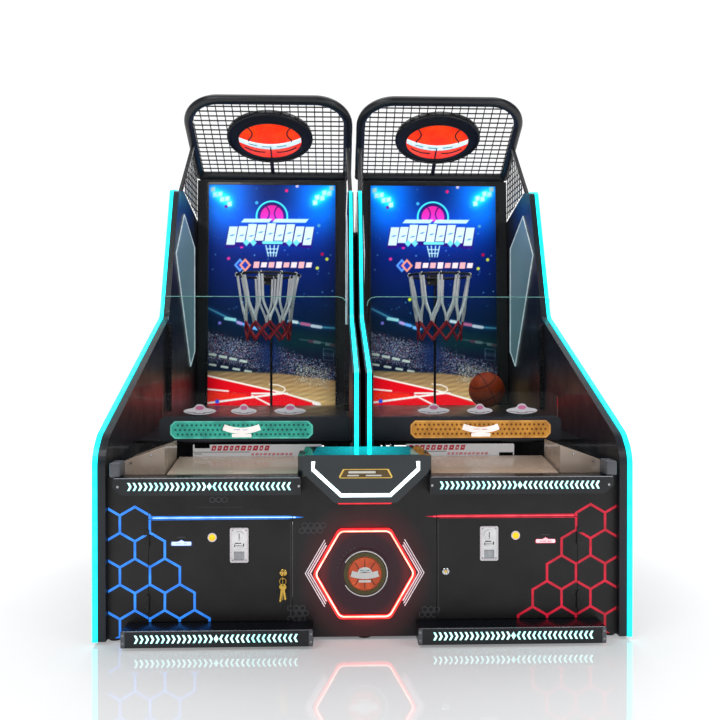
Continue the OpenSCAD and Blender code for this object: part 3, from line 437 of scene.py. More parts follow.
NODE_FINISH = {
    "base_frame": "frame", "levelling_feet": "rubber", "side_panel_left": "cabinet",
    "side_panel_right": "cabinet", "divider_panels": "cabinet", "front_panel": "front",
    "back_cover": "rear", "edge_lights": "cyan_light", "blade_mirrors": "mirror",
    "door_hinges": "hinge", "console_housing": "console", "console_light": "white_light",
    "name_plate": "brass", "hexagon_light": "neon_glow", "hexagon_sign": "front",
    "guide_rails": "rail", "chevron_lights": "chevron_light", "tray_floors": "tray",
    "riser_boards": "white_board", "ramps": "ramp", "gate_motors": "electronics",
    "gate_guides": "machined", "hoop_poles": "hoop", "hoop_rims": "hoop", "hoop_nets": "cord_white",
    "screen_housings": "screen_case", "screen_panels": "screen_case", "canopy_frames": "canopy",
    "canopy_meshes": "wire", "canopy_signs": "canopy", "ball_guards": "guard",
    "guard_posts": "post", "cash_boxes": "zinc", "control_box": "electronics",
    "power_supply": "electronics", "power_inlet": "inlet", "fasteners": "screw",
    "basketball": "cord_red",
}
PAIRED_FINISH = {
    "service_door": "door", "door_fittings": "chrome", "coin_acceptor": "cast_chrome",
    "lock_plug": "brass", "start_button": "start_light", "coin_return_button": "white_plastic",
    "coin_return_flap": "zinc", "gate_beam": "gate", "gate_window": "window",
    "gate_pinion": "machined",
}

# width of the bevel on the edges of the hard ones
SOFTENED = {
    "console_housing": 0.003, "guide_rails": 0.001, "tray_floors": 0.0015, "riser_boards": 0.001,
    "gate_beam_left": 0.0012, "gate_beam_right": 0.0012, "screen_housings": 0.002,
    "side_panel_left": 0.0015, "side_panel_right": 0.0015, "canopy_signs": 0.002,
}


def paint(mesh, finish):
    mesh.materials.clear()
    mesh.materials.append(FINISHES[finish])


def finish_frame():
    """Gives every CAD node its finish and softens the edges of the hard ones."""
    for node, finish in NODE_FINISH.items():
        paint(NODES[node].data, finish)
    for base, finish in PAIRED_FINISH.items():
        for side, _ in SIDES:
            paint(NODES[f"{base}_{side}"].data, finish)
    for side, finish in (("left", "grille_teal"), ("right", "grille_amber")):
        paint(NODES[f"gate_grille_{side}"].data, finish)
    for node, width in SOFTENED.items():
        weld = NODES[node].modifiers.new("weld", "WELD")
        weld.merge_threshold = 0.00005
        bevel = NODES[node].modifiers.new("soft_edges", "BEVEL")
        bevel.width = width
        bevel.segments = 2
        bevel.limit_method = "ANGLE"
        bevel.angle_limit = math.radians(50)


# ---------------------------------------------------------------- geometry building

def facing(origin, normal, up=(0, 0, 1)):
    """Local frame on a surface, seen from outside: x to the right, y up, z out of it."""
    z = Vector(normal).normalized()
    x = Vector(up).cross(z).normalized()
    place = Matrix((x, z.cross(x), z)).transposed().to_4x4()
    place.translation = Vector(origin)
    return place


def add(name, mesh, finish, body="cabinet", sharp=35):
    """Puts a mesh in the scene as a piece that rides on a body."""
    paint(mesh, finish)
    mesh.shade_smooth()
    mesh.set_sharp_from_angle(angle=math.radians(sharp))
    obj = bpy.data.objects.new(name, mesh)
    bpy.context.scene.collection.objects.link(obj)
    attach(obj, body)
    return obj


def mesh_of(name, bm, place=None):
    bmesh.ops.recalc_face_normals(bm, faces=bm.faces)
    mesh = bpy.data.meshes.new(name)
    bm.to_mesh(mesh)
    bm.free()
    if place is not None:
        mesh.transform(place)
    return mesh


def plates(name, polygons, low, high, place, finish, body="cabinet"):
    """Flat pieces lying on a surface, from height low to high above it."""
    bm = bmesh.new()
    for polygon in polygons:
        bottom = [bm.verts.new((x, y, low)) for x, y in polygon]
        top = [bm.verts.new((x, y, high)) for x, y in polygon]
        bm.faces.new(bottom)
        bm.faces.new(top)
        for i in range(len(polygon)):
            j = (i + 1) % len(polygon)
            bm.faces.new((bottom[i], bottom[j], top[j], top[i]))
    return add(name, mesh_of(name, bm, place), finish, body)


def curve_mesh(name, paths, closed, **settings):
    """The mesh of a curve drawn through the points of each path."""
    curve = bpy.data.curves.new(name, "CURVE")
    for key, value in settings.items():
        setattr(curve, key, value)
    for path in paths:
        spline = curve.splines.new("POLY")
        spline.points.add(len(path) - 1)
        for point, place in zip(spline.points, path):
            point.co = (*place, 0, 1) if len(place) == 2 else (*place, 1)
        spline.use_cyclic_u = closed
    drawn = bpy.data.objects.new(name, curve)
    mesh = bpy.data.meshes.new_from_object(drawn)
    bpy.data.objects.remove(drawn)
    bpy.data.curves.remove(curve)
    return mesh


def shaped(name, loops, thickness, place, finish, body="cabinet", bevel=0.0, lift=0.0):
    """A plate cut to one or more closed outlines, with rounded edges."""
    mesh = curve_mesh(name, loops, True, dimensions="2D", fill_mode="BOTH",
                      extrude=thickness / 2 - bevel, bevel_depth=bevel, bevel_resolution=2, offset=-bevel)
    mesh.transform(place @ Matrix.Translation((0, 0, lift + thickness / 2)))
    return add(name, mesh, finish, body)


def tubes(name, paths, radius, finish, body="cabinet", closed=False, place=None, sides=3):
    """Round bars or cords along each path."""
    mesh = curve_mesh(name, paths, closed, dimensions="3D", bevel_depth=radius,
                      bevel_resolution=sides, use_fill_caps=not closed)
    if place is not None:
        mesh.transform(place)
    return add(name, mesh, finish, body, sharp=50)


def turned(name, profile, place, finish, body="cabinet", steps=48):
    """A turned piece: the profile is (radius, height) pairs from its axis outwards and back."""
    bm = bmesh.new()
    rings = []
    for radius, height in profile:
        if radius < 1e-6:
            rings.append([bm.verts.new((0, 0, height))])
            continue
        turns = [2 * math.pi * k / steps for k in range(steps)]
        rings.append([bm.verts.new((radius * math.cos(a), radius * math.sin(a), height)) for a in turns])
    for inner, outer in zip(rings, rings[1:]):
        for k in range(steps):
            j = (k + 1) % steps
            corners = ((inner, k), (outer, k), (outer, j), (inner, j))
            bm.faces.new(list(dict.fromkeys(ring[at % len(ring)] for ring, at in corners)))
    return add(name, mesh_of(name, bm, place), finish, body)


def slab(name, low, high, finish, bevel=0.002):
    """A block with rounded edges on the cabinet."""
    bm = bmesh.new()
    bmesh.ops.create_cube(bm, size=1)
    for vert in bm.verts:
        vert.co = [(a + b) / 2 + c * (b - a) for a, b, c in zip(low, high, vert.co)]
    bmesh.ops.bevel(bm, geom=bm.edges[:], offset=bevel, segments=3, profile=0.5, affect="EDGES")
    return add(name, mesh_of(name, bm), finish)


def ellipse(half_w, half_h, middle=(0, 0), steps=64, start=0.0, end=360.0):
    """Points round an ellipse, or along its arc from start to end."""
    count = steps if end - start >= 360 else steps + 1
    return [(middle[0] + half_w * math.cos(math.radians(start + (end - start) * k / steps)),
             middle[1] + half_h * math.sin(math.radians(start + (end - start) * k / steps)))
            for k in range(count)]


def rounded(half_w, half_h, r, middle=(0, 0), steps=6):
    """A rectangle with round corners."""
    points = []
    for quarter, (sx, sy) in enumerate(((1, 1), (-1, 1), (-1, -1), (1, -1))):
        points += ellipse(r, r, (middle[0] + sx * (half_w - r), middle[1] + sy * (half_h - r)),
                          steps, 90 * quarter, 90 * quarter + 90)
    return points


def band(path, width):
    """The outline of a line of some width along a path."""
    left, right = [], []
    half = width / 2
    for i, point in enumerate(path):
        along = (Vector(path[min(i + 1, len(path) - 1)]) - Vector(path[max(i - 1, 0)])).normalized()
        left.append((point[0] - along.y * half, point[1] + along.x * half))
        right.append((point[0] + along.y * half, point[1] - along.x * half))
    return left + right[::-1]


def network(points, edges, width):
    """Polygons of a net of straight lines, mitred where lines meet."""
    half = width / 2
    ways = {}
    for a, b in edges:
        ways.setdefault(a, []).append(b)
        ways.setdefault(b, []).append(a)

    def heading(here, there):
        step = Vector(points[there]) - Vector(points[here])
        return math.atan2(step.y, step.x)

    def corners(here, there):
        along = heading(here, there)
        turns = [(heading(here, other) - along) % (2 * math.pi) for other in ways[here] if other != there]
        x, y = points[here]
        found = []
        for sign, gap in ((1, min(turns, default=math.pi)), (-1, 2 * math.pi - max(turns, default=math.pi))):
            reach = half / max(math.sin(gap / 2), 0.3)
            angle = along + sign * gap / 2
            found.append((x + reach * math.cos(angle), y + reach * math.sin(angle)))
        return found

    polygons = []
    for a, b in edges:
        a_left, a_right = corners(a, b)
        b_left, b_right = corners(b, a)
        polygons.append([a_right, points[a], a_left, b_right, points[b], b_left])
    return polygons


def clipped(polygon, axis, limit, below):
    """The part of a polygon below or above a limit along one axis."""
    sign = 1 if below else -1
    kept = []
    for a, b in zip(polygon, polygon[1:] + polygon[:1]):
        da, db = sign * (limit - a[axis]), sign * (limit - b[axis])
        if da >= 0:
            kept.append(tuple(a))
        if da * db < 0:
            t = da / (da - db)
            kept.append((a[0] + (b[0] - a[0]) * t, a[1] + (b[1] - a[1]) * t))
    return kept


def area(polygon):
    """Area inside a polygon, whichever way round it runs."""
    return abs(sum(a[0] * b[1] - a[1] * b[0] for a, b in zip(polygon, polygon[1:] + polygon[:1]))) / 2


def at_door(polygons, side):
    """Sorts flat pieces on the front into those on a service door and those round it."""
    on_door, round_it = [], []
    low_x, high_x = sorted(side * x for x in DOOR_X)
    for rest in polygons:
        for axis, (low, high) in enumerate(((low_x, high_x), DOOR_Z)):
            round_it.append(clipped(rest, axis, low - DOOR_GAP, True))
            round_it.append(clipped(rest, axis, high + DOOR_GAP, False))
            rest = clipped(clipped(rest, axis, high, True), axis, low, False)
        on_door.append(rest)
    return [[p for p in part if len(p) > 2 and area(p) > 1e-6] for part in (on_door, round_it)]


def on_front(x, z, y=FRONT_Y):
    """Local frame on a surface that faces the player."""
    return facing((x, y, z), (0, -1, 0))


def hexagon(x, z, r, start=90):
    """Corners of a regular hexagon."""
    turns = [math.radians(start + 60 * k) for k in range(6)]
    return [(x + r * math.cos(a), z + r * math.sin(a)) for a in turns]


FRONT = on_front(0, 0)
PRINT_T = 0.0006


def front_print(name, polygons, side, finish, lift=0.0001):
    """Prints flat pieces on the front, shared between the panel and the service door."""
    name_side = "left" if side < 0 else "right"
    on_door, round_it = at_door(polygons, side)
    if on_door:
        plates(f"{name}_door_{name_side}", on_door, lift, lift + PRINT_T, FRONT, finish,
               f"door_{name_side}")
    if round_it:
        plates(f"{name}_{name_side}", round_it, lift, lift + PRINT_T, FRONT, finish)


# ---------------------------------------------------------------- front of the cabinet

HEX_FLAT = 0.1155                    # width of one hexagon across its flats
HEX_ROW = 0.101                      # height from row to row
HEX_ROWS = (
    (0.460, (0.895, 1.0105)),
    (0.359, (0.837, 0.953)),
    (0.258, (0.779, 0.895, 1.0105)),
    (0.157, (0.722, 0.837, 0.953)),
    (0.056, (0.664, 0.779, 0.895, 1.0105)),
)
PANEL_EDGE = 0.998
PANEL_FOOT = 0.016


def hexagon_net(side):
    """Corner points and edges of the honeycomb printed at the outer end of the front."""
    points, edges, index = [], set(), {}
    side_len = HEX_ROW / 1.5
    for z, middles in HEX_ROWS:
        for x in middles:
            ring = []
            for k in range(6):
                angle = math.radians(90 + 60 * k)
                place = (side * (x + HEX_FLAT / 2 / math.cos(math.radians(30)) * math.cos(angle)),
                         z + side_len * math.sin(angle))
                key = (round(place[0], 2), round(place[1], 2))
                near = [k2 for k2 in index if abs(k2[0] - key[0]) < 0.015 and abs(k2[1] - key[1]) < 0.015]
                if not near:
                    index[key] = len(points)
                    points.append(place)
                ring.append(index[near[0] if near else key])
            edges |= {tuple(sorted((a, b))) for a, b in zip(ring, ring[1:] + ring[:1])}
    return points, sorted(edges)


def on_panel(polygons):
    """Cuts flat pieces to the front panel."""
    kept = []
    for polygon in polygons:
        for axis, limit, below in ((0, PANEL_EDGE, True), (0, -PANEL_EDGE, False), (1, PANEL_FOOT, False)):
            polygon = clipped(polygon, axis, limit, below)
            if len(polygon) < 3:
                break
        if len(polygon) > 2 and area(polygon) > 1e-6:
            kept.append(polygon)
    return kept


def small_hexagons(middle, columns, rows, r=0.011, pitch=0.024):
    """Outlines of a cluster of little hexagons, as flat pieces."""
    pieces = []
    for row in range(rows):
        for column in range(columns):
            x = middle[0] + (column - (columns - 1) / 2 + 0.5 * (row % 2) - 0.25) * pitch
            z = middle[1] + (row - (rows - 1) / 2) * pitch * 0.87
            pieces += network(hexagon(x, z, r), [(k, (k + 1) % 6) for k in range(6)], 0.0028)
    return pieces


def make_front_prints():
    """Honeycombs, thin lines, chevrons round the hexagon and small grey clusters."""
    for side in (-1, 1):
        tint = "blue" if side < 0 else "red"
        points, edges = hexagon_net(side)
        front_print("honeycomb", on_panel(network(points, edges, 0.0095)), side, f"hex_{tint}")
        bar = ((0.832, 0.4905), (0.832, 0.4745), (0.300, 0.4760), (0.238, 0.4830), (0.300, 0.4890))
        front_print("top_line", [[(side * x, z) for x, z in bar]], side, f"hex_{tint}")
        core = ((0.826, 0.4850), (0.826, 0.4815), (0.270, 0.4815), (0.270, 0.4845))
        front_print("top_line_core", [[(side * x, z) for x, z in core]], side, f"line_core_{tint}", 0.0008)
        for row, (reach, width) in enumerate(((0.2140, 0.0050), (0.2235, 0.0040), (0.2330, 0.0034))):
            arm = 0.064 + 0.006 * row
            top, low = ((side * (reach - arm), HEX_Z + way * arm * 1.72) for way in (1, -1))
            chevron = network([top, (side * reach, HEX_Z), low], [(0, 1), (1, 2)], width)
            front_print(f"chevron_line_{row + 1}", chevron, side, "chevron_print")
    clusters = ((-0.565, 0.553, 3, 1), (-0.205, 0.440, 4, 2), (-0.262, 0.106, 3, 3), (0.255, 0.106, 3, 2))
    for number, (x, z, columns, rows) in enumerate(clusters, 1):
        pieces = small_hexagons((x, z), columns, rows)
        front_print(f"hexagon_cluster_{number}", pieces, -1 if x < 0 else 1, "grey_print")
    dots = [ellipse(0.0022, 0.0022, (-0.565 + (k - 7.5) * 0.011, 0.524), 8) for k in range(16)]
    front_print("dot_row", dots, -1, "grey_print")
    glow = [(-0.112, 0.5410), (0.112, 0.5410), (0.102, 0.5325), (-0.102, 0.5325)]
    plates("console_glow_line", [glow], 0.0001, 0.0008, FRONT, "red_line")


# The machine carries no lettering: plain rings and bars stand in its place
def make_sign():
    """The round sign inside the lit hexagon, and the neon's white-hot core."""
    middle = (0.0, HEX_Z)
    corners = hexagon(*middle, 0.1930, start=0)
    ring = []
    for k in range(6):
        before, here, after = (Vector(corners[(k + d) % 6]) for d in (-1, 0, 1))
        start = here + (before - here).normalized() * 0.018
        end = here + (after - here).normalized() * 0.018
        for t in (i / 6 for i in range(7)):
            x, z = start * (1 - t) ** 2 + here * 2 * t * (1 - t) + end * t * t
            ring.append((x, -1.0842, z))
    tubes("neon_core", [ring], 0.0030, "neon_core", closed=True)

    face = FRONT @ Matrix.Translation((0, 0, 0.010))

    def flat(name, polygons, low, high, finish):
        plates(name, polygons, low, high, face, finish)

    for name, r_in, r_out, thickness, finish, start, end in (
            ("sign_white_ring", 0.0860, 0.0900, 0.0016, "ring_white", -150, 150),
            ("sign_olive_ring", 0.0700, 0.0820, 0.0014, "sign_olive", 0, 360),
            ("sign_inner_ring", 0.0665, 0.0680, 0.0014, "sign_amber", 0, 360)):
        outer = ellipse(r_out, r_out, middle, 64, start, end)
        inner = ellipse(r_in, r_in, middle, 64, start, end)[::-1]
        loops = [outer, inner] if end - start == 360 else [outer + inner]
        shaped(name, loops, thickness, face, finish, bevel=0.0003)
    disc_r = 0.0640
    shaped("sign_disc", [ellipse(disc_r, disc_r, middle)], 0.0020, face, "sign_orange",
           bevel=0.0008)
    seams = [ellipse(disc_r, disc_r, (dx, HEX_Z), 24, start, start + 88)
             for dx, start in ((0.086, 136), (-0.086, -44))]
    seams += [[(0.0, HEX_Z - 0.058), (0.0, HEX_Z + 0.058)], [(-0.0600, HEX_Z), (0.0600, HEX_Z)]]
    flat("sign_disc_seams", [band(seam, 0.0030) for seam in seams], 0.0020, 0.0026, "sign_black")
    swoop = [(x, HEX_Z - 0.008 + 3.2 * x * x) for x in np.linspace(-0.053, 0.053, 15)]
    flat("sign_ribbon", [band(swoop, 0.024)], 0.0026, 0.0034, "ring_white")
    crest = ellipse(0.028, 0.020, (0, HEX_Z + 0.006), 32, 0, 180)
    flat("sign_ribbon_crest", [crest], 0.0026, 0.0031, "ring_white")
    flat("sign_ribbon_bar", [rounded(0.024, 0.0045, 0.002, (0, HEX_Z - 0.029))], 0.0026, 0.0032, "ring_white")
    strokes = [band([(x, HEX_Z + 0.010 + way * 0.0035), (x + 0.016, HEX_Z + 0.010 + way * 0.0030)], 0.0022)
               for x, way in ((-0.018, 1), (0.003, 1), (-0.010, -1))]
    flat("sign_ribbon_strokes", strokes, 0.0034, 0.0038, "sign_teal")
    ticks = []
    for angle in (math.radians(112 + 9 * k) for k in range(7)):
        ends = [(r * math.cos(angle), HEX_Z + r * math.sin(angle)) for r in (0.104, 0.116)]
        ticks.append(band(ends, 0.0022))
    flat("sign_ticks", ticks, 0.0, 0.0006, "grey_print")


START_RING = ((0.0118, 0.0002), (0.0118, 0.0062), (0.0126, 0.0074), (0.0142, 0.0070), (0.0160, 0.0040),
              (0.0166, 0.0002))
START_CAP = ((0.0, 0.0136), (0.0040, 0.0134), (0.0080, 0.0126), (0.0102, 0.0112), (0.0110, 0.0090),
             (0.0110, 0.0030))
COIN_ENTRY = ((0.0, 0.0012), (0.0110, 0.0012), (0.0126, 0.0026), (0.0152, 0.0026), (0.0168, 0.0004))
SCREW_HEAD = ((0.0, 0.0016), (0.0010, 0.0016), (0.0012, 0.0022), (0.0026, 0.0020), (0.0034, 0.0002))
LOCK_FACE = ((0.0066, 0.0), (0.0066, 0.0016), (0.0080, 0.0026), (0.0120, 0.0022), (0.0140, 0.0006),
             (0.0140, -0.0030))
COIN_MARKS = ((0.0120, 0.0018, (-0.004, 0.008)), (0.0020, 0.0060, (0.017, 0.001)),
              (0.0020, 0.0050, (-0.017, -0.002)))
COIN_SCREWS = ((-0.0262, 0.0585), (0.0262, 0.0585), (-0.0262, -0.0585), (0.0262, -0.0585))


def make_coin_plate(name, side):
    """Raised surround, round coin entry, slots and screws of a coin acceptor."""
    body, slot = f"door_{name}", "coin_chrome"
    plate = on_front(side * 0.490, 0.376, -1.0765)
    surround = [rounded(0.0345, 0.0665, 0.009), rounded(0.0300, 0.0620, 0.007)[::-1]]
    shaped(f"coin_plate_rim_{name}", surround, 0.0016, plate, "coin_plate", body, bevel=0.0006)
    entry = plate @ Matrix.Translation((0, 0.036, 0))
    turned(f"coin_entry_{name}", COIN_ENTRY, entry, "cast_chrome", body)
    shaped(f"coin_slot_{name}", [rounded(0.0014, 0.0135, 0.0012)], 0.0007, entry, "slot_black", body,
           bevel=0.0001, lift=0.0014)
    for k, (half_w, half_h, middle) in enumerate(COIN_MARKS, 1):
        mark = rounded(half_w, half_h, 0.0014, middle)
        shaped(f"coin_mark_{name}_{k}", [mark], 0.0007, plate, "slot_black", body, bevel=0.0001)
    for k, (x, y) in enumerate(COIN_SCREWS, 1):
        place = plate @ Matrix.Translation((x, y, 0))
        turned(f"coin_screw_{name}_{k}", SCREW_HEAD, place, "screw", body, 16)


def make_label(name, side):
    """A blank label plate with a peaked top, and a faint hint above it."""
    body = f"door_{name}"
    color = "label_blue" if side < 0 else "label_red"
    tag = on_front(side * 0.715, 0.383)
    right = ((0.038, -0.0095), (0.041, -0.006), (0.041, 0.005), (0.038, 0.0085), (0.013, 0.0085))
    outline = [(-right[0][0], right[0][1]), *right, (0.0, 0.0165), *((-x, y) for x, y in right[:0:-1])]
    shaped(f"label_back_{name}", [outline], 0.0014, tag, color, body, bevel=0.0004)

    def flat(label, polygons, low, high, finish):
        plates(f"label_{label}_{name}", polygons, low, high, tag, finish, body)

    flat("face", [[(x * 0.93, (y + 0.0005) * 0.80) for x, y in outline]], 0.0014, 0.0019, f"{color}_face")
    flat("bars", [rounded(0.0120, 0.0009, 0.0007, (-0.010, -0.0008)),
                  rounded(0.0080, 0.0009, 0.0007, (0.016, -0.0008))], 0.0019, 0.0022, color)
    flat("hint", [rounded(0.0170, 0.0012, 0.001, (0, 0.0245))], 0.0001, 0.0006, "grey_print")


def make_door_details():
    """Lit start buttons, coin plates, blank label plates and lock faces."""
    for name, side in SIDES:
        body = f"door_{name}"
        button = on_front(side * 0.595, 0.407)
        turned(f"start_ring_{name}", START_RING, button, "white_plastic", body)
        turned(f"start_cap_{name}", START_CAP, button, "start_light", f"start_{name}")
        make_coin_plate(name, side)
        make_label(name, side)
        lock = on_front(side * LOCK_X, LOCK_Z, -1.074)
        turned(f"lock_face_{name}", LOCK_FACE, lock, "brass" if side < 0 else "chrome", body)
        # fine seam line in the door near its free edge
        seam = [(side * 0.2905, 0.092), (side * 0.2905, 0.464)]
        plates(f"door_fold_{name}", network(seam, [(0, 1)], 0.0016), 0.0001, 0.0006, FRONT, "fold_line", body)


def make_keys():
    """A split ring through the left lock's key, with two more keys on it."""
    hang = on_front(-LOCK_X, LOCK_Z, -1.1010)
    ring = [(*p, 0.0) for p in ellipse(0.0125, 0.0125, (0, -0.0260), 40)]
    tubes("key_ring", [ring], 0.0014, "gold", "lock_left", closed=True, place=hang)
    for k, (tilt, length) in enumerate(((-8, 0.046), (10, 0.038)), 1):
        blade = [(-0.0036, -0.0225 - length), (-0.0004, -0.0262 - length), (0.0030, -0.0225 - length)]
        for tooth in range(4):
            z = -0.0205 - length + tooth * 0.0065
            blade += [(0.0030, z), (0.0052, z + 0.0016), (0.0030, z + 0.0036)]
        outline = ellipse(0.0118, 0.0122, (0, -0.0120), 40, -68, 248) + blade
        hole = ellipse(0.0034, 0.0034, (0, -0.0050), 20)[::-1]
        down = Matrix.Translation((0, -0.0335, 0.0008 + 0.0024 * k))
        place = hang @ down @ Matrix.Rotation(math.radians(tilt), 4, "Z")
        shaped(f"hanging_key_{k}", [outline, hole], 0.0020, place, "gold", "lock_left",
               bevel=0.0005)


def make_console_details():
    """Generic bars on the badge, and the console top's glow."""
    face = on_front(0, 0, -1.1750)
    field = [(-0.097, 0.6535), (0.097, 0.6535), (0.081, 0.6825), (-0.081, 0.6825)]
    plates("badge_field", [field], 0.0, 0.0006, face, "badge_dark")
    bars = [rounded(0.052, 0.0042, 0.003, (-0.014, 0.6735)), rounded(0.030, 0.0026, 0.002, (0.030, 0.6610)),
            rounded(0.022, 0.0026, 0.002, (-0.048, 0.6610))]
    plates("badge_bars", bars, 0.0006, 0.0012, face, "badge_bar")
    top = facing((0, -1.0, 0.738), (0, 0, 1), (0, 1, 0))
    plates("console_top_glow", [[(-0.205, -0.164), (0.205, -0.164), (0.190, 0.105), (-0.190, 0.105)]],
           0.0001, 0.0008, top, "console_glow")


def make_rail_details():
    """Bright top lips, end caps and corner brackets of the four guide rails."""
    for name, side in SIDES:
        def along_rail(piece, inner, outer, low, high, finish, bevel):
            low_x, high_x = sorted((side * inner, side * outer))
            slab(f"{piece}_{name}", (low_x, *low), (high_x, *high), finish, bevel)

        along_rail("upper_rail_lip", 0.250, 0.951, (-1.1640, 0.6500), (-1.1530, 0.6530), "rail_lip", 0.0012)
        along_rail("upper_rail_cap", 0.9300, 0.9700, (-1.1560, 0.6540), (-1.0720, 0.7100), "rail_cap", 0.006)
        along_rail("lower_rail_lip", 0.204, 0.921, (-1.1715, 0.0735), (-1.1620, 0.0765), "rail_lip", 0.0012)
        for end, x in (("inner", 0.2085), ("outer", 0.9165)):
            shaped(f"lower_rail_bracket_{end}_{name}", [rounded(0.0078, 0.0290, 0.004)], 0.0022,
                   on_front(side * x, 0.0440, -1.1700), "rail_cap", bevel=0.0007)


# ---------------------------------------------------------------- screens

SCREEN_W = 0.812
SCREEN_H = 1.420
SCREEN_LEAN = math.radians(3)
SCREEN_FOOT = (0.896, 0.745)         # where the leaning plane starts, in Y and Z
SCREEN_LOW = 0.051                   # from there up to the picture's lower edge


class Picture:
    """A picture worked out on a grid: X runs right from the middle and T down from the top, in metres."""

    def __init__(self, width, height, pitch):
        self.columns = round(width / pitch) + 1
        self.rows = round(height / pitch) + 1
        x = np.linspace(-width / 2, width / 2, self.columns)
        t = np.linspace(0, height, self.rows)
        self.x, self.t = np.meshgrid(x, t)
        self.rgb = np.zeros((self.rows, self.columns, 3))
        self.soft = pitch * 1.1
        self.random = np.random.default_rng(7)

    def edge(self, distance, soft=None):
        """1 inside, 0 outside, from a distance that is positive inside."""
        return np.clip(distance / (soft or self.soft) + 0.5, 0, 1)

    def disc(self, x, t, r, soft=None):
        return self.edge(r - np.hypot(self.x - x, self.t - t), soft)

    def halo(self, x, t, r, stretch=1.0):
        return np.exp(-((self.x - x) ** 2 + ((self.t - t) * stretch) ** 2) / r ** 2)

    def line(self, a, b, width, soft=None):
        ax, at = a
        dx, dt = b[0] - ax, b[1] - at
        along = np.clip(((self.x - ax) * dx + (self.t - at) * dt) / (dx * dx + dt * dt), 0, 1)
        return self.edge(width / 2 - np.hypot(self.x - ax - along * dx, self.t - at - along * dt), soft)

    def path(self, points, width, soft=None):
        mask = np.zeros_like(self.x)
        for a, b in zip(points, points[1:]):
            mask = np.maximum(mask, self.line(a, b, width, soft))
        return mask

    def area(self, points, soft=None):
        """A convex outline, its points in either turning direction."""
        turn = sum(a[0] * b[1] - a[1] * b[0] for a, b in zip(points, points[1:] + points[:1]))
        sign = 1 if turn > 0 else -1
        inside = np.full_like(self.x, 9.0)
        for (ax, at), (bx, bt) in zip(points, points[1:] + points[:1]):
            length = math.hypot(bx - ax, bt - at)
            cross = (bx - ax) * (self.t - at) - (bt - at) * (self.x - ax)
            inside = np.minimum(inside, sign * cross / length)
        return self.edge(inside, soft)

    def lay(self, mask, color, amount=1.0):
        share = (mask * amount)[..., None]
        self.rgb = self.rgb * (1 - share) + np.array(color) * share

    def lighten(self, mask, color, amount=1.0):
        self.rgb = self.rgb + (mask * amount)[..., None] * np.array(color)

    def speckle(self, mask, density, colors, strength):
        """Random points of light, each a cell wide, where the mask allows."""
        chance = self.random.random(self.x.shape)
        pick = self.random.integers(0, len(colors), self.x.shape)
        lit_cells = (chance < density * mask).astype(float)[..., None]
        tint = np.array(colors)[pick] * self.random.uniform(0.4, 1.0, self.x.shape)[..., None]
        self.rgb = self.rgb * (1 - lit_cells * strength) + tint * lit_cells * strength


def arena_sky(p):
    """Deep blue hall with floodlights in both upper corners."""
    down = p.t / SCREEN_H
    p.rgb = p.rgb + np.array((0.00, 0.17, 0.60))
    p.lay(np.clip(down / 0.36, 0, 1), (0.00, 0.11, 0.42))
    p.lay(np.clip((down - 0.36) / 0.28, 0, 1), (0.00, 0.09, 0.20))
    p.lay(p.halo(0, 0.02, 0.17, 0.9), (0.0, 0.06, 0.26), 0.75)
    for side in (-1, 1):
        p.lighten(p.halo(side * 0.33, 0.05, 0.20), (0.00, 0.42, 0.60), 0.85)
        p.lighten(p.halo(side * 0.36, 0.18, 0.16), (0.00, 0.22, 0.40), 0.6)
        for k in range(3):
            reach = 0.275 + 0.046 * k
            for row in range(2):
                x = side * (reach + 0.014 * row)
                t = 0.112 - 0.030 * k - 0.034 * row + (0.012 if side < 0 else 0.0)
                p.lighten(p.halo(x, t, 0.034), (0.10, 0.62, 0.75), 0.5)
                p.lay(p.area([(x - 0.014, t - 0.012), (x + 0.014, t - 0.016), (x + 0.015, t + 0.014),
                              (x - 0.013, t + 0.018)], 0.010), (0.80, 1.0, 1.0))
        p.lay(p.line((side * 0.40, 0.14), (side * 0.24, 0.215), 0.006, 0.012), (0.0, 0.50, 0.72), 0.4)


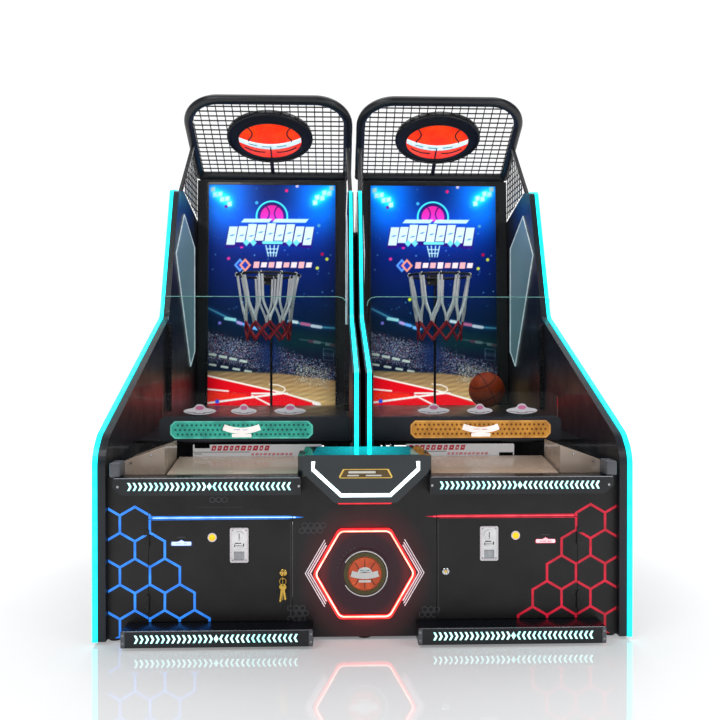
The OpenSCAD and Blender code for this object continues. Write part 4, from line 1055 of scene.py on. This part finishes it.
def arena_emblem(p):
    """A made-up emblem: a neon ball over blank slanted bars, and a plain bar below."""
    ball_x, ball_t = -0.002, 0.205
    half = p.edge(0.232 - p.t, 0.004)
    p.lay(p.disc(ball_x, ball_t, 0.088) * half, (0.20, 0.02, 0.30), 0.8)
    p.lay(p.disc(ball_x, ball_t, 0.074) * half, (0.90, 0.12, 0.58))
    for offset in (-0.075, 0.075):
        ring = p.disc(ball_x + offset, ball_t - 0.02, 0.062) - p.disc(ball_x + offset, ball_t - 0.02, 0.054)
        p.lay(ring * p.disc(ball_x, ball_t, 0.074) * half, (0.25, 0.02, 0.32))
    ring = p.disc(ball_x, ball_t, 0.104) - p.disc(ball_x, ball_t, 0.094)
    p.lay(ring * p.edge(0.235 - p.t, 0.004), (0.30, 0.95, 1.0))

    def slanted(x0, x1, t, height, lean=0.010, rise=0.0):
        return [(x0 + lean, t - height / 2 - rise), (x1 + lean, t - height / 2 + rise),
                (x1 - lean, t + height / 2 + rise), (x0 - lean, t + height / 2 - rise)]

    p.lighten(p.halo(0, 0.29, 0.24, 2.0), (0.05, 0.25, 0.65), 0.6)
    for x0, x1 in ((-0.190, -0.010), (0.010, 0.225)):
        p.lay(p.area(slanted(x0, x1, 0.232, 0.024)), (0.80, 0.98, 1.0))
    left, right = -0.285, 0.265
    count = 9
    step = (right - left) / count
    centre = (count - 1) / 2
    places = [(left + step * k, 0.022 * ((k - centre) / centre) ** 2) for k in range(count)]
    for x, bow in places:
        p.lay(p.area(slanted(x - 0.006, x + step * 0.96, 0.322 + bow, 0.132)), (0.16, 0.05, 0.52))
    for k, (x, bow) in enumerate(places):
        tall = 0.104 if k % 2 else 0.118
        p.lay(p.area(slanted(x + 0.001, x + step * 0.90, 0.308 + bow, tall)), (0.86, 1.0, 1.0))
        p.lay(p.area(slanted(x + 0.018, x + step * 0.66, 0.306 + bow + 0.010 * (k % 3), 0.012)),
              (0.25, 0.45, 0.95), 0.7)
    for x in (-0.165, -0.120, 0.110, 0.155):
        p.lay(p.area([(x, 0.352), (x + 0.021, 0.375), (x, 0.398), (x - 0.021, 0.375)]), (0.45, 0.90, 1.0))
    p.lay(p.line((-0.055, 0.374), (0.060, 0.374), 0.018), (0.45, 0.97, 1.0))
    for offset in (-0.040, -0.014, 0.014, 0.040):
        p.lay(p.line((offset, 0.392), (offset * 0.6, 0.462), 0.0065), (0.75, 0.95, 1.0))
    for t, reach in ((0.415, 0.036), (0.440, 0.030)):
        p.lay(p.line((-reach, t), (reach, t), 0.006), (0.75, 0.95, 1.0))
    # plain bar with two overlapping diamonds
    for x, color in ((-0.205, (0.35, 0.62, 1.0)), (-0.172, (1.0, 0.62, 0.52))):
        p.lay(p.area([(x, 0.476), (x + 0.038, 0.520), (x, 0.564), (x - 0.038, 0.520)]), color)
        p.lay(p.area([(x, 0.494), (x + 0.022, 0.520), (x, 0.546), (x - 0.022, 0.520)]), (0.12, 0.22, 0.70))
    for k in range(8):
        x = -0.118 + 0.048 * k
        tall = (0.040, 0.032, 0.036)[k % 3]
        tone = ((0.98, 0.72, 0.75), (0.98, 0.90, 0.92))[k % 2]
        p.lay(p.area(slanted(x, x + 0.036, 0.518, tall, 0.003)), tone)


def arena_confetti(p):
    """A few large dots and a scatter of small ones."""
    big = ((0.092, 0.036, (0.92, 0.12, 0.45)), (-0.278, 0.478, (0.85, 0.20, 0.60)),
           (-0.195, 0.402, (0.95, 0.15, 0.60)), (0.322, 0.448, (0.70, 0.05, 0.28)),
           (0.352, 0.480, (0.85, 0.90, 0.30)), (0.290, 0.538, (0.80, 0.88, 0.35)),
           (-0.155, 0.740, (0.82, 0.90, 0.15)), (0.300, 0.262, (0.30, 0.62, 0.78)),
           (0.160, 0.006, (0.80, 0.75, 0.90)), (-0.100, 0.116, (0.25, 0.68, 0.90)),
           (-0.296, 0.142, (0.45, 0.12, 0.62)), (-0.332, 0.893, (0.45, 0.42, 0.80)))
    for x, t, color in big:
        p.lay(p.disc(x, t, 0.0105), color)
    for _ in range(46):
        x, t = p.random.uniform(-0.39, 0.39), p.random.uniform(0.02, 0.86)
        p.lay(p.disc(x, t, p.random.uniform(0.003, 0.006)), (0.35, 0.60, 0.85), p.random.uniform(0.3, 0.9))


def arena_stands(p):
    """Light rings, tiers of spectators and blank boards."""
    left = [(-0.40, 0.800), (-0.31, 0.845), (-0.20, 0.895), (-0.08, 0.930)]
    right = [(0.11, 0.880), (0.20, 0.900), (0.30, 0.918), (0.40, 0.925)]
    for path in (left, right):
        p.lighten(p.path(path, 0.020, 0.040), (0.05, 0.25, 0.32), 0.6)
        p.lay(p.path(path, 0.010, 0.008), (0.35, 0.68, 0.78), 0.7)
    boards = ((-0.265, 0.868, 0.060, (0.60, 0.85, 0.88)), (-0.205, 0.893, 0.022, (0.72, 0.60, 0.90)),
              (-0.165, 0.905, 0.026, (0.40, 0.66, 1.0)), (-0.110, 0.926, 0.036, (0.45, 0.72, 1.0)),
              (0.135, 0.884, 0.050, (0.80, 0.85, 0.88)), (0.215, 0.900, 0.050, (0.72, 0.35, 0.52)),
              (0.285, 0.915, 0.055, (0.75, 0.78, 0.84)))
    for x, t, width, color in boards:
        p.lay(p.line((x - width / 2, t - 0.004), (x + width / 2, t + 0.004), 0.020), color, 0.9)
    lower = [(0.18, 0.998), (0.28, 1.010), (0.40, 1.032)]
    p.lay(p.path(lower, 0.008), (0.65, 0.75, 0.78), 0.8)
    for x, t, color in ((0.255, 1.008, (0.85, 0.25, 0.42)), (0.290, 1.014, (0.95, 0.88, 0.90)),
                        (0.365, 1.028, (0.92, 0.90, 0.92)), (0.395, 1.034, (0.80, 0.35, 0.45))):
        p.lay(p.line((x - 0.016, t), (x + 0.016, t + 0.004), 0.018), color)
    # tiers, darker towards the middle of the hall
    tiers = p.area([(-0.44, 0.930), (0.46, 1.10), (0.46, 1.32), (-0.44, 1.18)], 0.05)
    p.lay(tiers, (0.045, 0.075, 0.155), 0.85)
    p.lay(p.area([(0.02, 0.92), (0.46, 0.98), (0.46, 1.08), (0.02, 1.06)], 0.06), (0.02, 0.16, 0.17), 0.7)
    near = p.area([(-0.44, 0.945), (0.05, 1.06), (0.46, 1.19), (0.46, 1.30), (-0.44, 1.12)], 0.04)
    crowd = ((0.75, 0.80, 0.95), (0.55, 0.62, 0.80), (0.80, 0.42, 0.55), (0.38, 0.50, 0.78),
             (0.90, 0.90, 0.95))
    p.speckle(near, 0.34, crowd, 0.75)
    p.speckle(p.area([(-0.44, 0.960), (-0.10, 1.03), (-0.16, 1.12), (-0.44, 1.10)], 0.05), 0.25, crowd, 0.8)
    p.lay(p.halo(-0.01, 1.10, 0.075, 0.7), (0.05, 0.13, 0.34), 0.75)
    for t, step, tall in ((1.095, 0.052, 0.016), (1.160, 0.060, 0.014)):
        for k in range(4):
            cx, ct = -0.375 + step * 1.25 * k, t + 0.014 * k
            p.lay(p.line((cx - 0.018, ct - 0.003), (cx + 0.018, ct + 0.003), tall), (0.80, 0.84, 0.80), 0.85)
    for t in (1.055, 1.085):
        frame_line = [(0.33, t), (0.395, t + 0.008), (0.395, t + 0.050), (0.33, t + 0.042), (0.33, t)]
        p.lay(p.path(frame_line, 0.0045), (0.45, 0.52, 0.60), 0.45)


def arena_court(p):
    """Wooden court with a red key and white lines."""
    wood = p.area([(-0.44, 1.150), (0.06, 1.215), (0.44, 1.230), (0.44, 1.45), (-0.44, 1.45)], 0.012)
    grain = 0.92 + 0.10 * np.sin(p.t * 210 + p.x * 40) * np.sin(p.x * 31 + 1.3)
    fade = np.clip((p.t - 1.14) / 0.26, 0, 1)[..., None]
    near, far = np.array((0.84, 0.70, 0.46)), np.array((0.44, 0.36, 0.27))
    tone = (far * (1 - fade) + near * fade) * grain[..., None]
    p.rgb = p.rgb * (1 - wood[..., None]) + tone * wood[..., None]
    crowd = ((0.92, 0.92, 0.88), (0.60, 0.66, 0.60), (0.85, 0.80, 0.70))
    p.speckle(p.area([(0.16, 1.16), (0.36, 1.19), (0.36, 1.31), (0.16, 1.27)], 0.05), 0.38, crowd, 0.85)
    red = (0.86, 0.03, 0.10)
    p.lay(p.area([(-0.44, 1.225), (0.060, 1.340), (0.285, 1.412), (0.285, 1.45), (-0.44, 1.45)]), red)
    p.lay(p.area([(-0.44, 1.330), (-0.17, 1.345), (-0.14, 1.365), (-0.44, 1.400)]), (0.95, 0.16, 0.06), 0.8)
    white = (0.95, 0.93, 0.90)
    p.lay(p.path([(-0.44, 1.222), (0.058, 1.336), (0.300, 1.405), (0.34, 1.45)], 0.010), white)
    lines = (((-0.44, 1.312), (-0.275, 1.328), 0.010), ((-0.125, 1.343), (0.100, 1.343), 0.011),
             ((-0.44, 1.408), (0.060, 1.343), 0.013), ((-0.125, 1.356), (0.000, 1.420), 0.010))
    for start, end, width in lines:
        p.lay(p.line(start, end, width), white)
    arc = [(-0.015, 1.283), (0.045, 1.290), (0.080, 1.305), (0.087, 1.322), (0.070, 1.334), (0.030, 1.338)]
    p.lay(p.path(arc, 0.007), white, 0.9)
    p.lay(p.line((0.270, 1.404), (0.300, 1.412), 0.022), white)
    p.lay(p.disc(-0.345, 1.393, 0.013), (0.10, 0.30, 0.90))


def screen_mesh(pitch):
    """The screen's picture as colours on a fine grid."""
    picture = Picture(SCREEN_W, SCREEN_H, pitch)
    for draw in (arena_sky, arena_confetti, arena_emblem, arena_stands, arena_court):
        draw(picture)
    vignette = 1 - 0.35 * np.clip((np.abs(picture.x) / (SCREEN_W / 2)) ** 6, 0, 1)
    srgb = np.clip(picture.rgb * vignette[..., None], 0, 1)
    linear = np.where(srgb <= 0.04045, srgb / 12.92, ((srgb + 0.055) / 1.055) ** 2.4)
    rows, columns = picture.rows, picture.columns
    points = np.stack([picture.x, SCREEN_H / 2 - picture.t, np.zeros_like(picture.x)], -1).reshape(-1, 3)
    index = np.arange(rows * columns).reshape(rows, columns)
    faces = np.stack([index[1:, :-1], index[1:, 1:], index[:-1, 1:], index[:-1, :-1]], -1).reshape(-1, 4)
    mesh = bpy.data.meshes.new("screen_picture")
    mesh.from_pydata(points.tolist(), [], faces.tolist())
    colors = np.concatenate([linear.reshape(-1, 3), np.ones((rows * columns, 1))], 1)
    mesh.color_attributes.new("picture", "FLOAT_COLOR", "POINT").data.foreach_set("color", colors.ravel())
    return mesh


def screen_finish():
    """A glossy panel whose light comes from the picture on its mesh."""
    made = Material(Roughness=0.3, Specular_IOR_Level=0.18)
    picture = made.node("ShaderNodeVertexColor", layer_name="picture")
    made.color(made.mix(0.92, picture.outputs["Color"], (0.0, 0.0, 0.0)))
    shimmer = made.spread(made.noise(260, 2), 0.93, 1.07)
    tint = made.node("ShaderNodeMix", data_type="RGBA", blend_type="MULTIPLY")
    tint.inputs[0].default_value = 1.0
    made.link(picture.outputs["Color"], tint.inputs[6])
    made.link(shimmer, tint.inputs[7])
    made.glow(tint.outputs[2], 1.15)
    made.rough(made.spread(made.noise(18, 4), 0.26, 0.36))
    return made.mat


def make_screens():
    """The lit pictures and the bezels round them."""
    picture = screen_mesh(0.004)
    normal = Vector((0, -math.cos(SCREEN_LEAN), math.sin(SCREEN_LEAN)))
    up = Vector((0, math.sin(SCREEN_LEAN), math.cos(SCREEN_LEAN)))
    half_w, half_h = SCREEN_W / 2, SCREEN_H / 2
    for name, side in SIDES:
        middle = Vector((side * LANE_X, *SCREEN_FOOT)) + up * (SCREEN_LOW + half_h)
        mesh = picture.copy()
        mesh.transform(facing(middle + normal * -0.0018, normal))
        add(f"screen_picture_{name}", mesh, "screen_picture")
        loops = [rounded(half_w + 0.016, half_h + 0.016, 0.008), rounded(half_w, half_h, 0.003)[::-1]]
        shaped(f"screen_bezel_{name}", loops, 0.003, facing(middle, normal), "bezel",
               bevel=0.001)


# ---------------------------------------------------------------- hoops and ball

HOOP_Y = 0.650
RIM_R, RIM_Z = 0.187, 1.600
NET_TOP = 1.591
NET_HANG = 1.5915                    # where the white cords start
NET_LOW = 1.209
NET_KNOTS = (1.318, 1.2650, 1.2140)  # heights of the rows of knots
NET_LOOPS = 10


def net_radius(z):
    """Radius of the net at a height, between its hem and the ring."""
    t = (z - NET_LOW) / (NET_TOP - NET_LOW)
    return 0.132 + 0.055 * (0.55 * t + 0.45 * t * t)


def eased(t):
    t = min(max(t, 0), 1)
    return t * t * (3 - 2 * t)


def make_nets():
    """Doubled white cords from each loop on the ring, and a red netted hem below."""
    rng = random.Random(11)
    step = 2 * math.pi / NET_LOOPS
    knot_z = NET_KNOTS[0]
    for name, side in SIDES:
        def at(r, angle, z):
            return (side * LANE_X + r * math.cos(angle), HOOP_Y + r * math.sin(angle), z)

        white, red, ties, knots = [], [], [], []
        sway = [rng.uniform(-0.35, 0.35) * step * 0.22 for _ in range(NET_LOOPS)]
        for k in range(NET_LOOPS):
            top_angle = step * (k + 0.25) + sway[k]
            for way, knot in ((-1, step * (k - 0.25)), (1, step * (k + 0.75))):
                cord = []
                for t in (i / 14 for i in range(15)):
                    z = NET_HANG + (knot_z - NET_HANG) * t
                    start = top_angle + way * 0.052
                    angle = start + (knot - start) * eased((t - 0.50) / 0.50)
                    belly = 0.006 * math.sin(math.pi * t) * (1 if k % 2 else -0.6)
                    cord.append(at(net_radius(z) - 0.004 + belly, angle, z))
                white.append(cord)
            loop = []
            for a in (2 * math.pi * i / 12 for i in range(13)):
                swing = top_angle + 0.030 * math.cos(a / 2)
                loop.append(at(RIM_R + 0.0105 * math.cos(a), swing, RIM_Z + 0.0105 * math.sin(a)))
            ties.append(loop)
            for row, z in enumerate(NET_KNOTS):
                start = step * (k + 0.75 + 0.5 * row)
                knots.append(at(net_radius(z) - 0.002, start, z))
                if z == NET_KNOTS[-1]:
                    break
                for end in (start - step / 2, start + step / 2):
                    cord = []
                    for t in (i / 6 for i in range(7)):
                        down = z + (NET_KNOTS[row + 1] - z) * t
                        cord.append(at(net_radius(down) - 0.002, start + (end - start) * t, down))
                    red.append(cord)
        net = tubes(f"net_cords_{name}", white, 0.0076, "cord_white")
        tubes(f"net_hem_{name}", red, 0.0062, "cord_red")
        tubes(f"net_ties_{name}", ties, 0.0026, "cord_white")
        bm = bmesh.new()
        for place in knots:
            bmesh.ops.create_icosphere(bm, subdivisions=2, radius=0.0078,
                                       matrix=Matrix.Translation(place) @ Matrix.Diagonal((1, 1, 1.25, 1)))
        add(f"net_knots_{name}", mesh_of("net_knots", bm), "cord_red", sharp=80)
        if side > 0:
            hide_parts("hoop_nets")


BALL_R = 0.110


def ball_finish():
    """Pebbled orange rubber, black where the mesh marks a channel."""
    finish = Material(Roughness=0.55)
    mask = finish.node("ShaderNodeVertexColor", layer_name="channel")
    tone = finish.ramp(finish.noise(24, 4), (0.3, (0.46, 0.050, 0.010)), (0.7, (0.64, 0.085, 0.014)))
    finish.color(finish.mix(mask.outputs["Color"], tone, (0.012, 0.010, 0.010)))
    pebbles = finish.node("ShaderNodeTexVoronoi", feature="SMOOTH_F1")
    pebbles.inputs["Scale"].default_value = 340
    finish.link(finish.coords(), pebbles.inputs["Vector"])
    finish.rough(finish.spread(pebbles.outputs["Distance"], 0.42, 0.68, 0.0, 0.6))
    finish.bump(pebbles.outputs["Distance"], 0.6, 0.0012)
    return finish.mat


def make_ball():
    """A ball with sunk black channels: a fine globe of columns and rows."""
    low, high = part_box("basketball")
    middle = (Vector(low) + Vector(high)) / 2
    columns, rows = 192, 96
    theta = np.linspace(0, math.pi, rows + 1)[1:-1]
    phi = np.arange(columns) * 2 * math.pi / columns
    phi, theta = np.meshgrid(phi, theta)
    globe = np.stack([np.sin(theta) * np.cos(phi), np.sin(theta) * np.sin(phi), np.cos(theta)], -1)
    points = np.vstack([globe.reshape(-1, 3), (0, 0, 1), (0, 0, -1)])
    x, y, z = points.T
    # two crossing great circles and two curved channels either side of one of them
    bowed = [np.abs(np.hypot(np.hypot(x, y), z - way * 1.10) - 0.86) for way in (-1, 1)]
    channel = np.minimum.reduce([np.abs(x), np.abs(z), *bowed])
    depth = np.exp(-(channel / 0.022) ** 4)
    ball_points = points * (BALL_R - 0.0018 * depth)[:, None]
    index = np.arange((rows - 1) * columns).reshape(rows - 1, columns)
    faces = np.stack([index[1:], np.roll(index[1:], -1, 1), np.roll(index[:-1], -1, 1), index[:-1]], -1)
    faces = faces.reshape(-1, 4).tolist()
    north, south = len(points) - 2, len(points) - 1
    for k in range(columns):
        j = (k + 1) % columns
        faces.append((north, int(index[0, k]), int(index[0, j])))
        faces.append((south, int(index[-1, j]), int(index[-1, k])))
    mesh = bpy.data.meshes.new("ball_skin")
    mesh.from_pydata(ball_points.tolist(), [], faces)
    marks = np.repeat(depth[:, None], 4, 1)
    marks[:, 3] = 1
    mesh.color_attributes.new("channel", "FLOAT_COLOR", "POINT").data.foreach_set("color", marks.ravel())
    turn = Matrix.Rotation(math.radians(-28), 4, "Y") @ Matrix.Rotation(math.radians(24), 4, "X")
    mesh.transform(Matrix.Translation(middle) @ turn)
    ball = add("ball_skin", mesh, "ball_rubber", "basketball", sharp=80)
    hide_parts("basketball")


# ---------------------------------------------------------------- canopies

CANOPY_X = 0.511
CANOPY_REAR = (0.985, 2.273)
CANOPY_FRONT = (0.430, 2.589)
SIGN_AT = 0.345                      # the sign's middle, from the canopy's rear end
DOME_Y, DOME_H = -0.020, 0.010       # the sign's shallow ball: its middle and height
DOME_W, DOME_L = 0.197, 0.146        # and half its width and length


def on_dome(fx, fy, lift=0.0):
    """A point on the sign's ball, from fractions of its half width and half length."""
    x, y = fx * DOME_W, DOME_Y + fy * DOME_L
    r = min(1.0, math.hypot(fx, fy))
    return (x, y, DOME_H * math.cos(r * math.pi / 2) + lift)


def ribbon_sag(t):
    """Height of the ribbon's middle line at a fraction of its half width."""
    return 0.06 - 0.34 * (1 - t * t) + 0.02


def make_ribbon(name, under):
    """The blank ribbon that sags across the sign's ball."""
    bm = bmesh.new()
    columns, rows = 40, 5
    grid = []
    for t in (-1 + 2 * i / columns for i in range(columns + 1)):
        half = 0.155 * (1 - 0.20 * t * t)
        heights = [ribbon_sag(t) + half * (2 * j / rows - 1) for j in range(rows + 1)]
        grid.append([bm.verts.new(on_dome(t * 0.955, fy, 0.0022)) for fy in heights])
    for i in range(columns):
        for j in range(rows):
            bm.faces.new((grid[i][j], grid[i + 1][j], grid[i + 1][j + 1], grid[i][j + 1]))
    mesh = mesh_of("sign_ribbon_sheet", bm, under)
    ribbon = add(f"canopy_sign_ribbon_{name}", mesh, "sign_ribbon")
    thick = ribbon.modifiers.new("thickness", "SOLIDIFY")
    thick.thickness = 0.0016
    thick.offset = 0


def make_signs():
    """Oval signs under the canopies, with a made-up ball and a blank ribbon."""
    run = Vector((0, CANOPY_FRONT[0] - CANOPY_REAR[0], CANOPY_FRONT[1] - CANOPY_REAR[1])).normalized()
    down = Vector((1, 0, 0)).cross(run)
    for name, side in SIDES:
        middle = Vector((side * CANOPY_X, *CANOPY_REAR)) + run * SIGN_AT
        under = facing(middle + down * 0.012, down, run)
        over = facing(middle - down * 0.012, -down, run)
        rim = [(*p, 0.002) for p in ellipse(0.250, 0.195, steps=96)]
        for label, place in (("under", under), ("over", over)):
            tubes(f"sign_rim_{label}_{name}", [rim], 0.0075, "sign_black", closed=True,
                  place=place)
        dome = [(r, DOME_H * math.cos(r * math.pi / 2) + 0.0005) for r in np.linspace(0, 1, 14)]
        place = under @ Matrix.Translation((0, DOME_Y, 0)) @ Matrix.Diagonal((DOME_W, DOME_L, 1, 1))
        turned(f"sign_ball_{name}", dome + [(1.0, 0.0)], place, "sign_ball", steps=96)
        ring = [(*on_dome(0.985 * math.cos(a), 0.985 * math.sin(a))[:2], 0.0012)
                for a in np.linspace(0, 2 * math.pi, 97)[:-1]]
        tubes(f"sign_ball_edge_{name}", [ring], 0.0032, "sign_black", closed=True,
              place=under, sides=2)

        def draped(label, fractions, radius, finish="sign_black", lift=0.0004):
            path = [on_dome(fx, fy, lift) for fx, fy in fractions]
            tubes(f"{label}_{name}", [path], radius, finish, place=under, sides=2)

        for way, label in ((-1, "west"), (1, "east")):
            upper = [(way * (0.66 - 0.13 * math.sin(math.pi * min(1, t * 1.1))), 0.75 - 0.75 * t + 0.02)
                     for t in np.linspace(0, 1, 12)]
            draped(f"sign_seam_upper_{label}", upper, 0.0042)
            lower = [(way * (0.18 + 0.62 * t), -0.60 + 0.26 * t * t - 0.02 * math.sin(math.pi * t))
                     for t in np.linspace(0, 1, 12)]
            draped(f"sign_seam_lower_{label}", lower, 0.0042)
        draped("sign_seam_middle", [(0, -0.30 - 0.68 * t) for t in np.linspace(0, 1, 9)], 0.0046)
        make_ribbon(name, under)
        for k, (t, width) in enumerate(((-0.55, 0.26), (-0.12, 0.30), (0.34, 0.30)), 1):
            bar = [(t + width * (s - 0.5), ribbon_sag(t + width * (s - 0.5))) for s in np.linspace(0, 1, 8)]
            draped(f"sign_ribbon_bar_{k}", bar, 0.0028, "sign_teal", 0.0032)


GUARD_Y = 0.050
GUARD_TOP = ((0.0545, 1.3800), (0.0600, 1.4060), (0.0760, 1.4215), (0.1030, 1.4275), (1.0180, 1.4275),
             (1.0270, 1.4235), (1.0305, 1.4150), (1.0305, 1.3275))
BLADE = ((0.500, 1.938), (0.260, 1.680), (0.700, 1.050), (0.840, 1.140), (0.840, 1.790))


def make_guard_edges():
    """The polished top edge of each ball guard, which catches the light."""
    for name, side in SIDES:
        edge = [(side * x, GUARD_Y, z) for x, z in GUARD_TOP]
        tubes(f"guard_edge_{name}", [edge], 0.0020, "guard_edge")


def make_blade_lines():
    """Pale bevelled borders round the mirrors on both walls of each lane, glowing with a painted highlight
    along their bevels.
    """
    for name, side in SIDES:
        for wall, x in (("outer", 0.9955), ("inner", 0.0475)):
            border = [(side * x, y, z) for y, z in BLADE]
            tubes(f"blade_border_{wall}_{name}", [border], 0.0034, "blade_line",
                  closed=True)


# ---------------------------------------------------------------- gates, risers and trays

BADGE_X = {"left": (-0.704, -0.513, -0.312), "right": (0.316, 0.519, 0.705)}
BADGE_W = (0.143, 0.114, 0.140)
BADGE_Z = 0.8785
GRILLE_Z = 0.794


def make_badge(name, place, half, body):
    """A lens-shaped badge with a pink dome and three grey lines."""
    lens = []
    for s in np.linspace(-1, 1, 25):
        bump = 0.016 * math.exp(-(s / 0.30) ** 4)
        lens.append((half * s, 0.0135 * (1 - s * s) ** 0.55 - 0.004 + bump))
    lens += [(half * s, -0.004 - 0.0165 * (1 - s * s) ** 0.6) for s in np.linspace(1, -1, 25)[1:-1]]
    shaped(f"badge_{name}", [lens], 0.0030, place, "badge_white", body, bevel=0.0009)
    dome = ellipse(half * 0.26, 0.0090, (0, 0.0095), 32)
    plates(f"badge_dome_{name}", [dome], 0.0030, 0.0040, place, "badge_pink", body)
    lines = [[(way * half * s, -0.0055 - 0.006 * (1 - s * s)) for s in np.linspace(0.22, 0.80, 9)]
             for way in (-1, 1)]
    lines.append([(half * s, -0.0145 + 0.004 * s * s) for s in np.linspace(-0.34, 0.34, 9)])
    plates(f"badge_lines_{name}", [band(line, 0.0022) for line in lines], 0.0030, 0.0036, place, "badge_grey",
           body)


def make_gates():
    """Lit lamp panels behind the grilles, blank ribbons, and badges on the clear stops."""
    half_w, half_h, cut = 0.304, 0.0350, 0.018
    corner = ((half_w, half_h - cut), (half_w - cut, half_h))
    octagon = [(half_w, -half_h + cut), *corner, *((-x, y) for x, y in corner[::-1]),
               (-half_w, -half_h + cut), (-half_w + cut, -half_h), (half_w - cut, -half_h)]
    for name, side in SIDES:
        body = f"gate_{name}"
        color = "teal" if side < 0 else "amber"
        low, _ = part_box(f"gate_grille_{name}")
        face = on_front(side * LANE_X, GRILLE_Z, low[1])
        lamp = on_front(side * LANE_X, GRILLE_Z, -0.7222)
        shaped(f"gate_lamp_{name}", [octagon], 0.0016, lamp, f"lamp_{color}", body, bevel=0.0004)
        edge = [(x, y, 0.0003) for x, y in octagon]
        tubes(f"grille_edge_{name}", [edge], 0.0016, f"edge_{color}", body, closed=True, place=face)
        swoop = [(x, 2.6 * x * x - 0.004) for x in np.linspace(-0.078, 0.078, 15)]
        plates(f"gate_ribbon_{name}", [band(swoop, 0.026)], 0.0004, 0.0020, face, "ribbon_white", body)
        shaped(f"gate_ribbon_bar_{name}", [rounded(0.042, 0.0075, 0.003, (0, -0.0245))], 0.0014, face,
               "ribbon_white", body, bevel=0.0004, lift=0.0004)
        bars = [rounded(0.014, 0.0012, 0.001, (-0.020, 0.001)), rounded(0.012, 0.0012, 0.001, (0.016, 0.000))]
        tint = "label_blue" if side < 0 else "label_red"
        plates(f"gate_ribbon_bars_{name}", bars, 0.0020, 0.0024, face, tint, body)
        for k, (x, width) in enumerate(zip(BADGE_X[name], BADGE_W), 1):
            make_badge(f"{name}_{k}", on_front(x, BADGE_Z, -0.7082), width / 2, body)


RISER_WORDS = (0.022, 0.020, 0.024, 0.018, 0.022, 0.024, 0.020, 0.024, 0.018, 0.022)
RISER_SMALL = (0.014, 0.016, 0.012, 0.018, 0.014, 0.016, 0.014, 0.018, 0.014, 0.016)


def leaning_blocks(x, widths, gap, lean, low, high):
    """A row of slanted blocks from x to the right."""
    blocks = []
    for width in widths:
        end = x + width - gap
        blocks.append([(x, low), (end, low), (end + lean, high), (x + lean, high)])
        x += width + gap
    return blocks


def make_riser_prints():
    """Red blocks in place of words, with a fine line under them."""
    for name, low_x in (("left", -0.728), ("right", 0.121)):
        face = on_front(low_x, 0.679, -0.742)

        def flat(label, polygons, low, high, finish):
            plates(f"riser_{label}_{name}", polygons, low, high, face, finish)

        blocks = leaning_blocks(0.078, RISER_WORDS, 0.004, 0.006, 0.027, 0.048)
        flat("blocks", blocks, 0.0001, 0.0007, "riser_red")
        cuts = []
        for k, ((ax, az), (bx, _), *_) in enumerate(blocks):
            middle = (ax + bx) / 2 + 0.002
            foot = az + 0.006 + 0.003 * (k % 2)
            cuts.append([(middle - 0.003, foot), (middle + 0.003, foot), (middle + 0.005, az + 0.013),
                         (middle - 0.001, az + 0.013)])
        flat("cuts", cuts, 0.0007, 0.0011, "white_board")
        small = leaning_blocks(0.250, RISER_SMALL, 0.003, 0.003, 0.006, 0.016)
        flat("small_blocks", small, 0.0001, 0.0006, "riser_pale_red")
        line = [(0.0, 0.0195), (0.245, 0.0195), (0.245, 0.0215), (0.0, 0.0215)]
        flat("line", [line, rounded(0.016, 0.0012, 0.001, (0.022, 0.013))], 0.0001, 0.0006, "slot_black")


# ---------------------------------------------------------------- stage

def set_stage(name, mesh, finish):
    """Floor or backdrop: seen in the picture and no part of the machine."""
    mesh.materials.append(finish.mat)
    obj = bpy.data.objects.new(name, mesh)
    bpy.context.scene.collection.objects.link(obj)


def make_floor():
    """A glossy pale studio floor whose own light rises until it meets the backdrop."""
    bm = bmesh.new()
    bmesh.ops.create_circle(bm, cap_ends=True, segments=96, radius=24)
    mesh = mesh_of("floor", bm, Matrix.Translation((0, 2.0, -0.001)))
    finish = Material("studio_floor", IOR=1.75)
    away = finish.math("MULTIPLY", away_from(finish, (0, 0, 0)), 0.1)
    tone = finish.ramp(finish.noise(1.5, 3), (0.3, (0.84, 0.85, 0.86)), (0.7, (0.88, 0.88, 0.89)))
    far = finish.ramp(away, (0.10, (0, 0, 0)), (0.34, (1, 1, 1)))
    finish.color(finish.mix(far, tone, (0.0, 0.0, 0.0)))
    finish.glow(finish.mix(far, (0.17, 0.17, 0.175), (1.0, 1.0, 1.0)), 1.0)
    finish.rough(finish.spread(finish.noise(3, 4), 0.02, 0.06))
    set_stage("floor", mesh, finish)


def make_backdrop():
    """A wide white screen behind the machine, which the floor mirrors."""
    bm = bmesh.new()
    bmesh.ops.create_grid(bm, x_segments=1, y_segments=1, size=1)
    mesh = mesh_of("backdrop", bm, on_front(0, 6, 9) @ Matrix.Diagonal((20, 7, 1, 1)))
    finish = Material("white_screen", Roughness=0.9)
    tone = finish.ramp(finish.noise(0.5, 2), (0.3, (0.99, 0.99, 0.99)), (0.7, (1.0, 1.0, 1.0)))
    finish.color(finish.mix(0.95, tone, (0.0, 0.0, 0.0)))
    finish.glow(tone, 1.02)
    set_stage("backdrop", mesh, finish)


def main():
    make_camera()
    make_studio()
    FINISHES.update(make_materials())
    finish_frame()
    for make in (make_floor, make_backdrop, make_front_prints, make_sign, make_door_details, make_keys,
                 make_console_details, make_rail_details, make_screens, make_nets, make_ball, make_signs,
                 make_blade_lines, make_guard_edges, make_gates, make_riser_prints):
        make()


main()
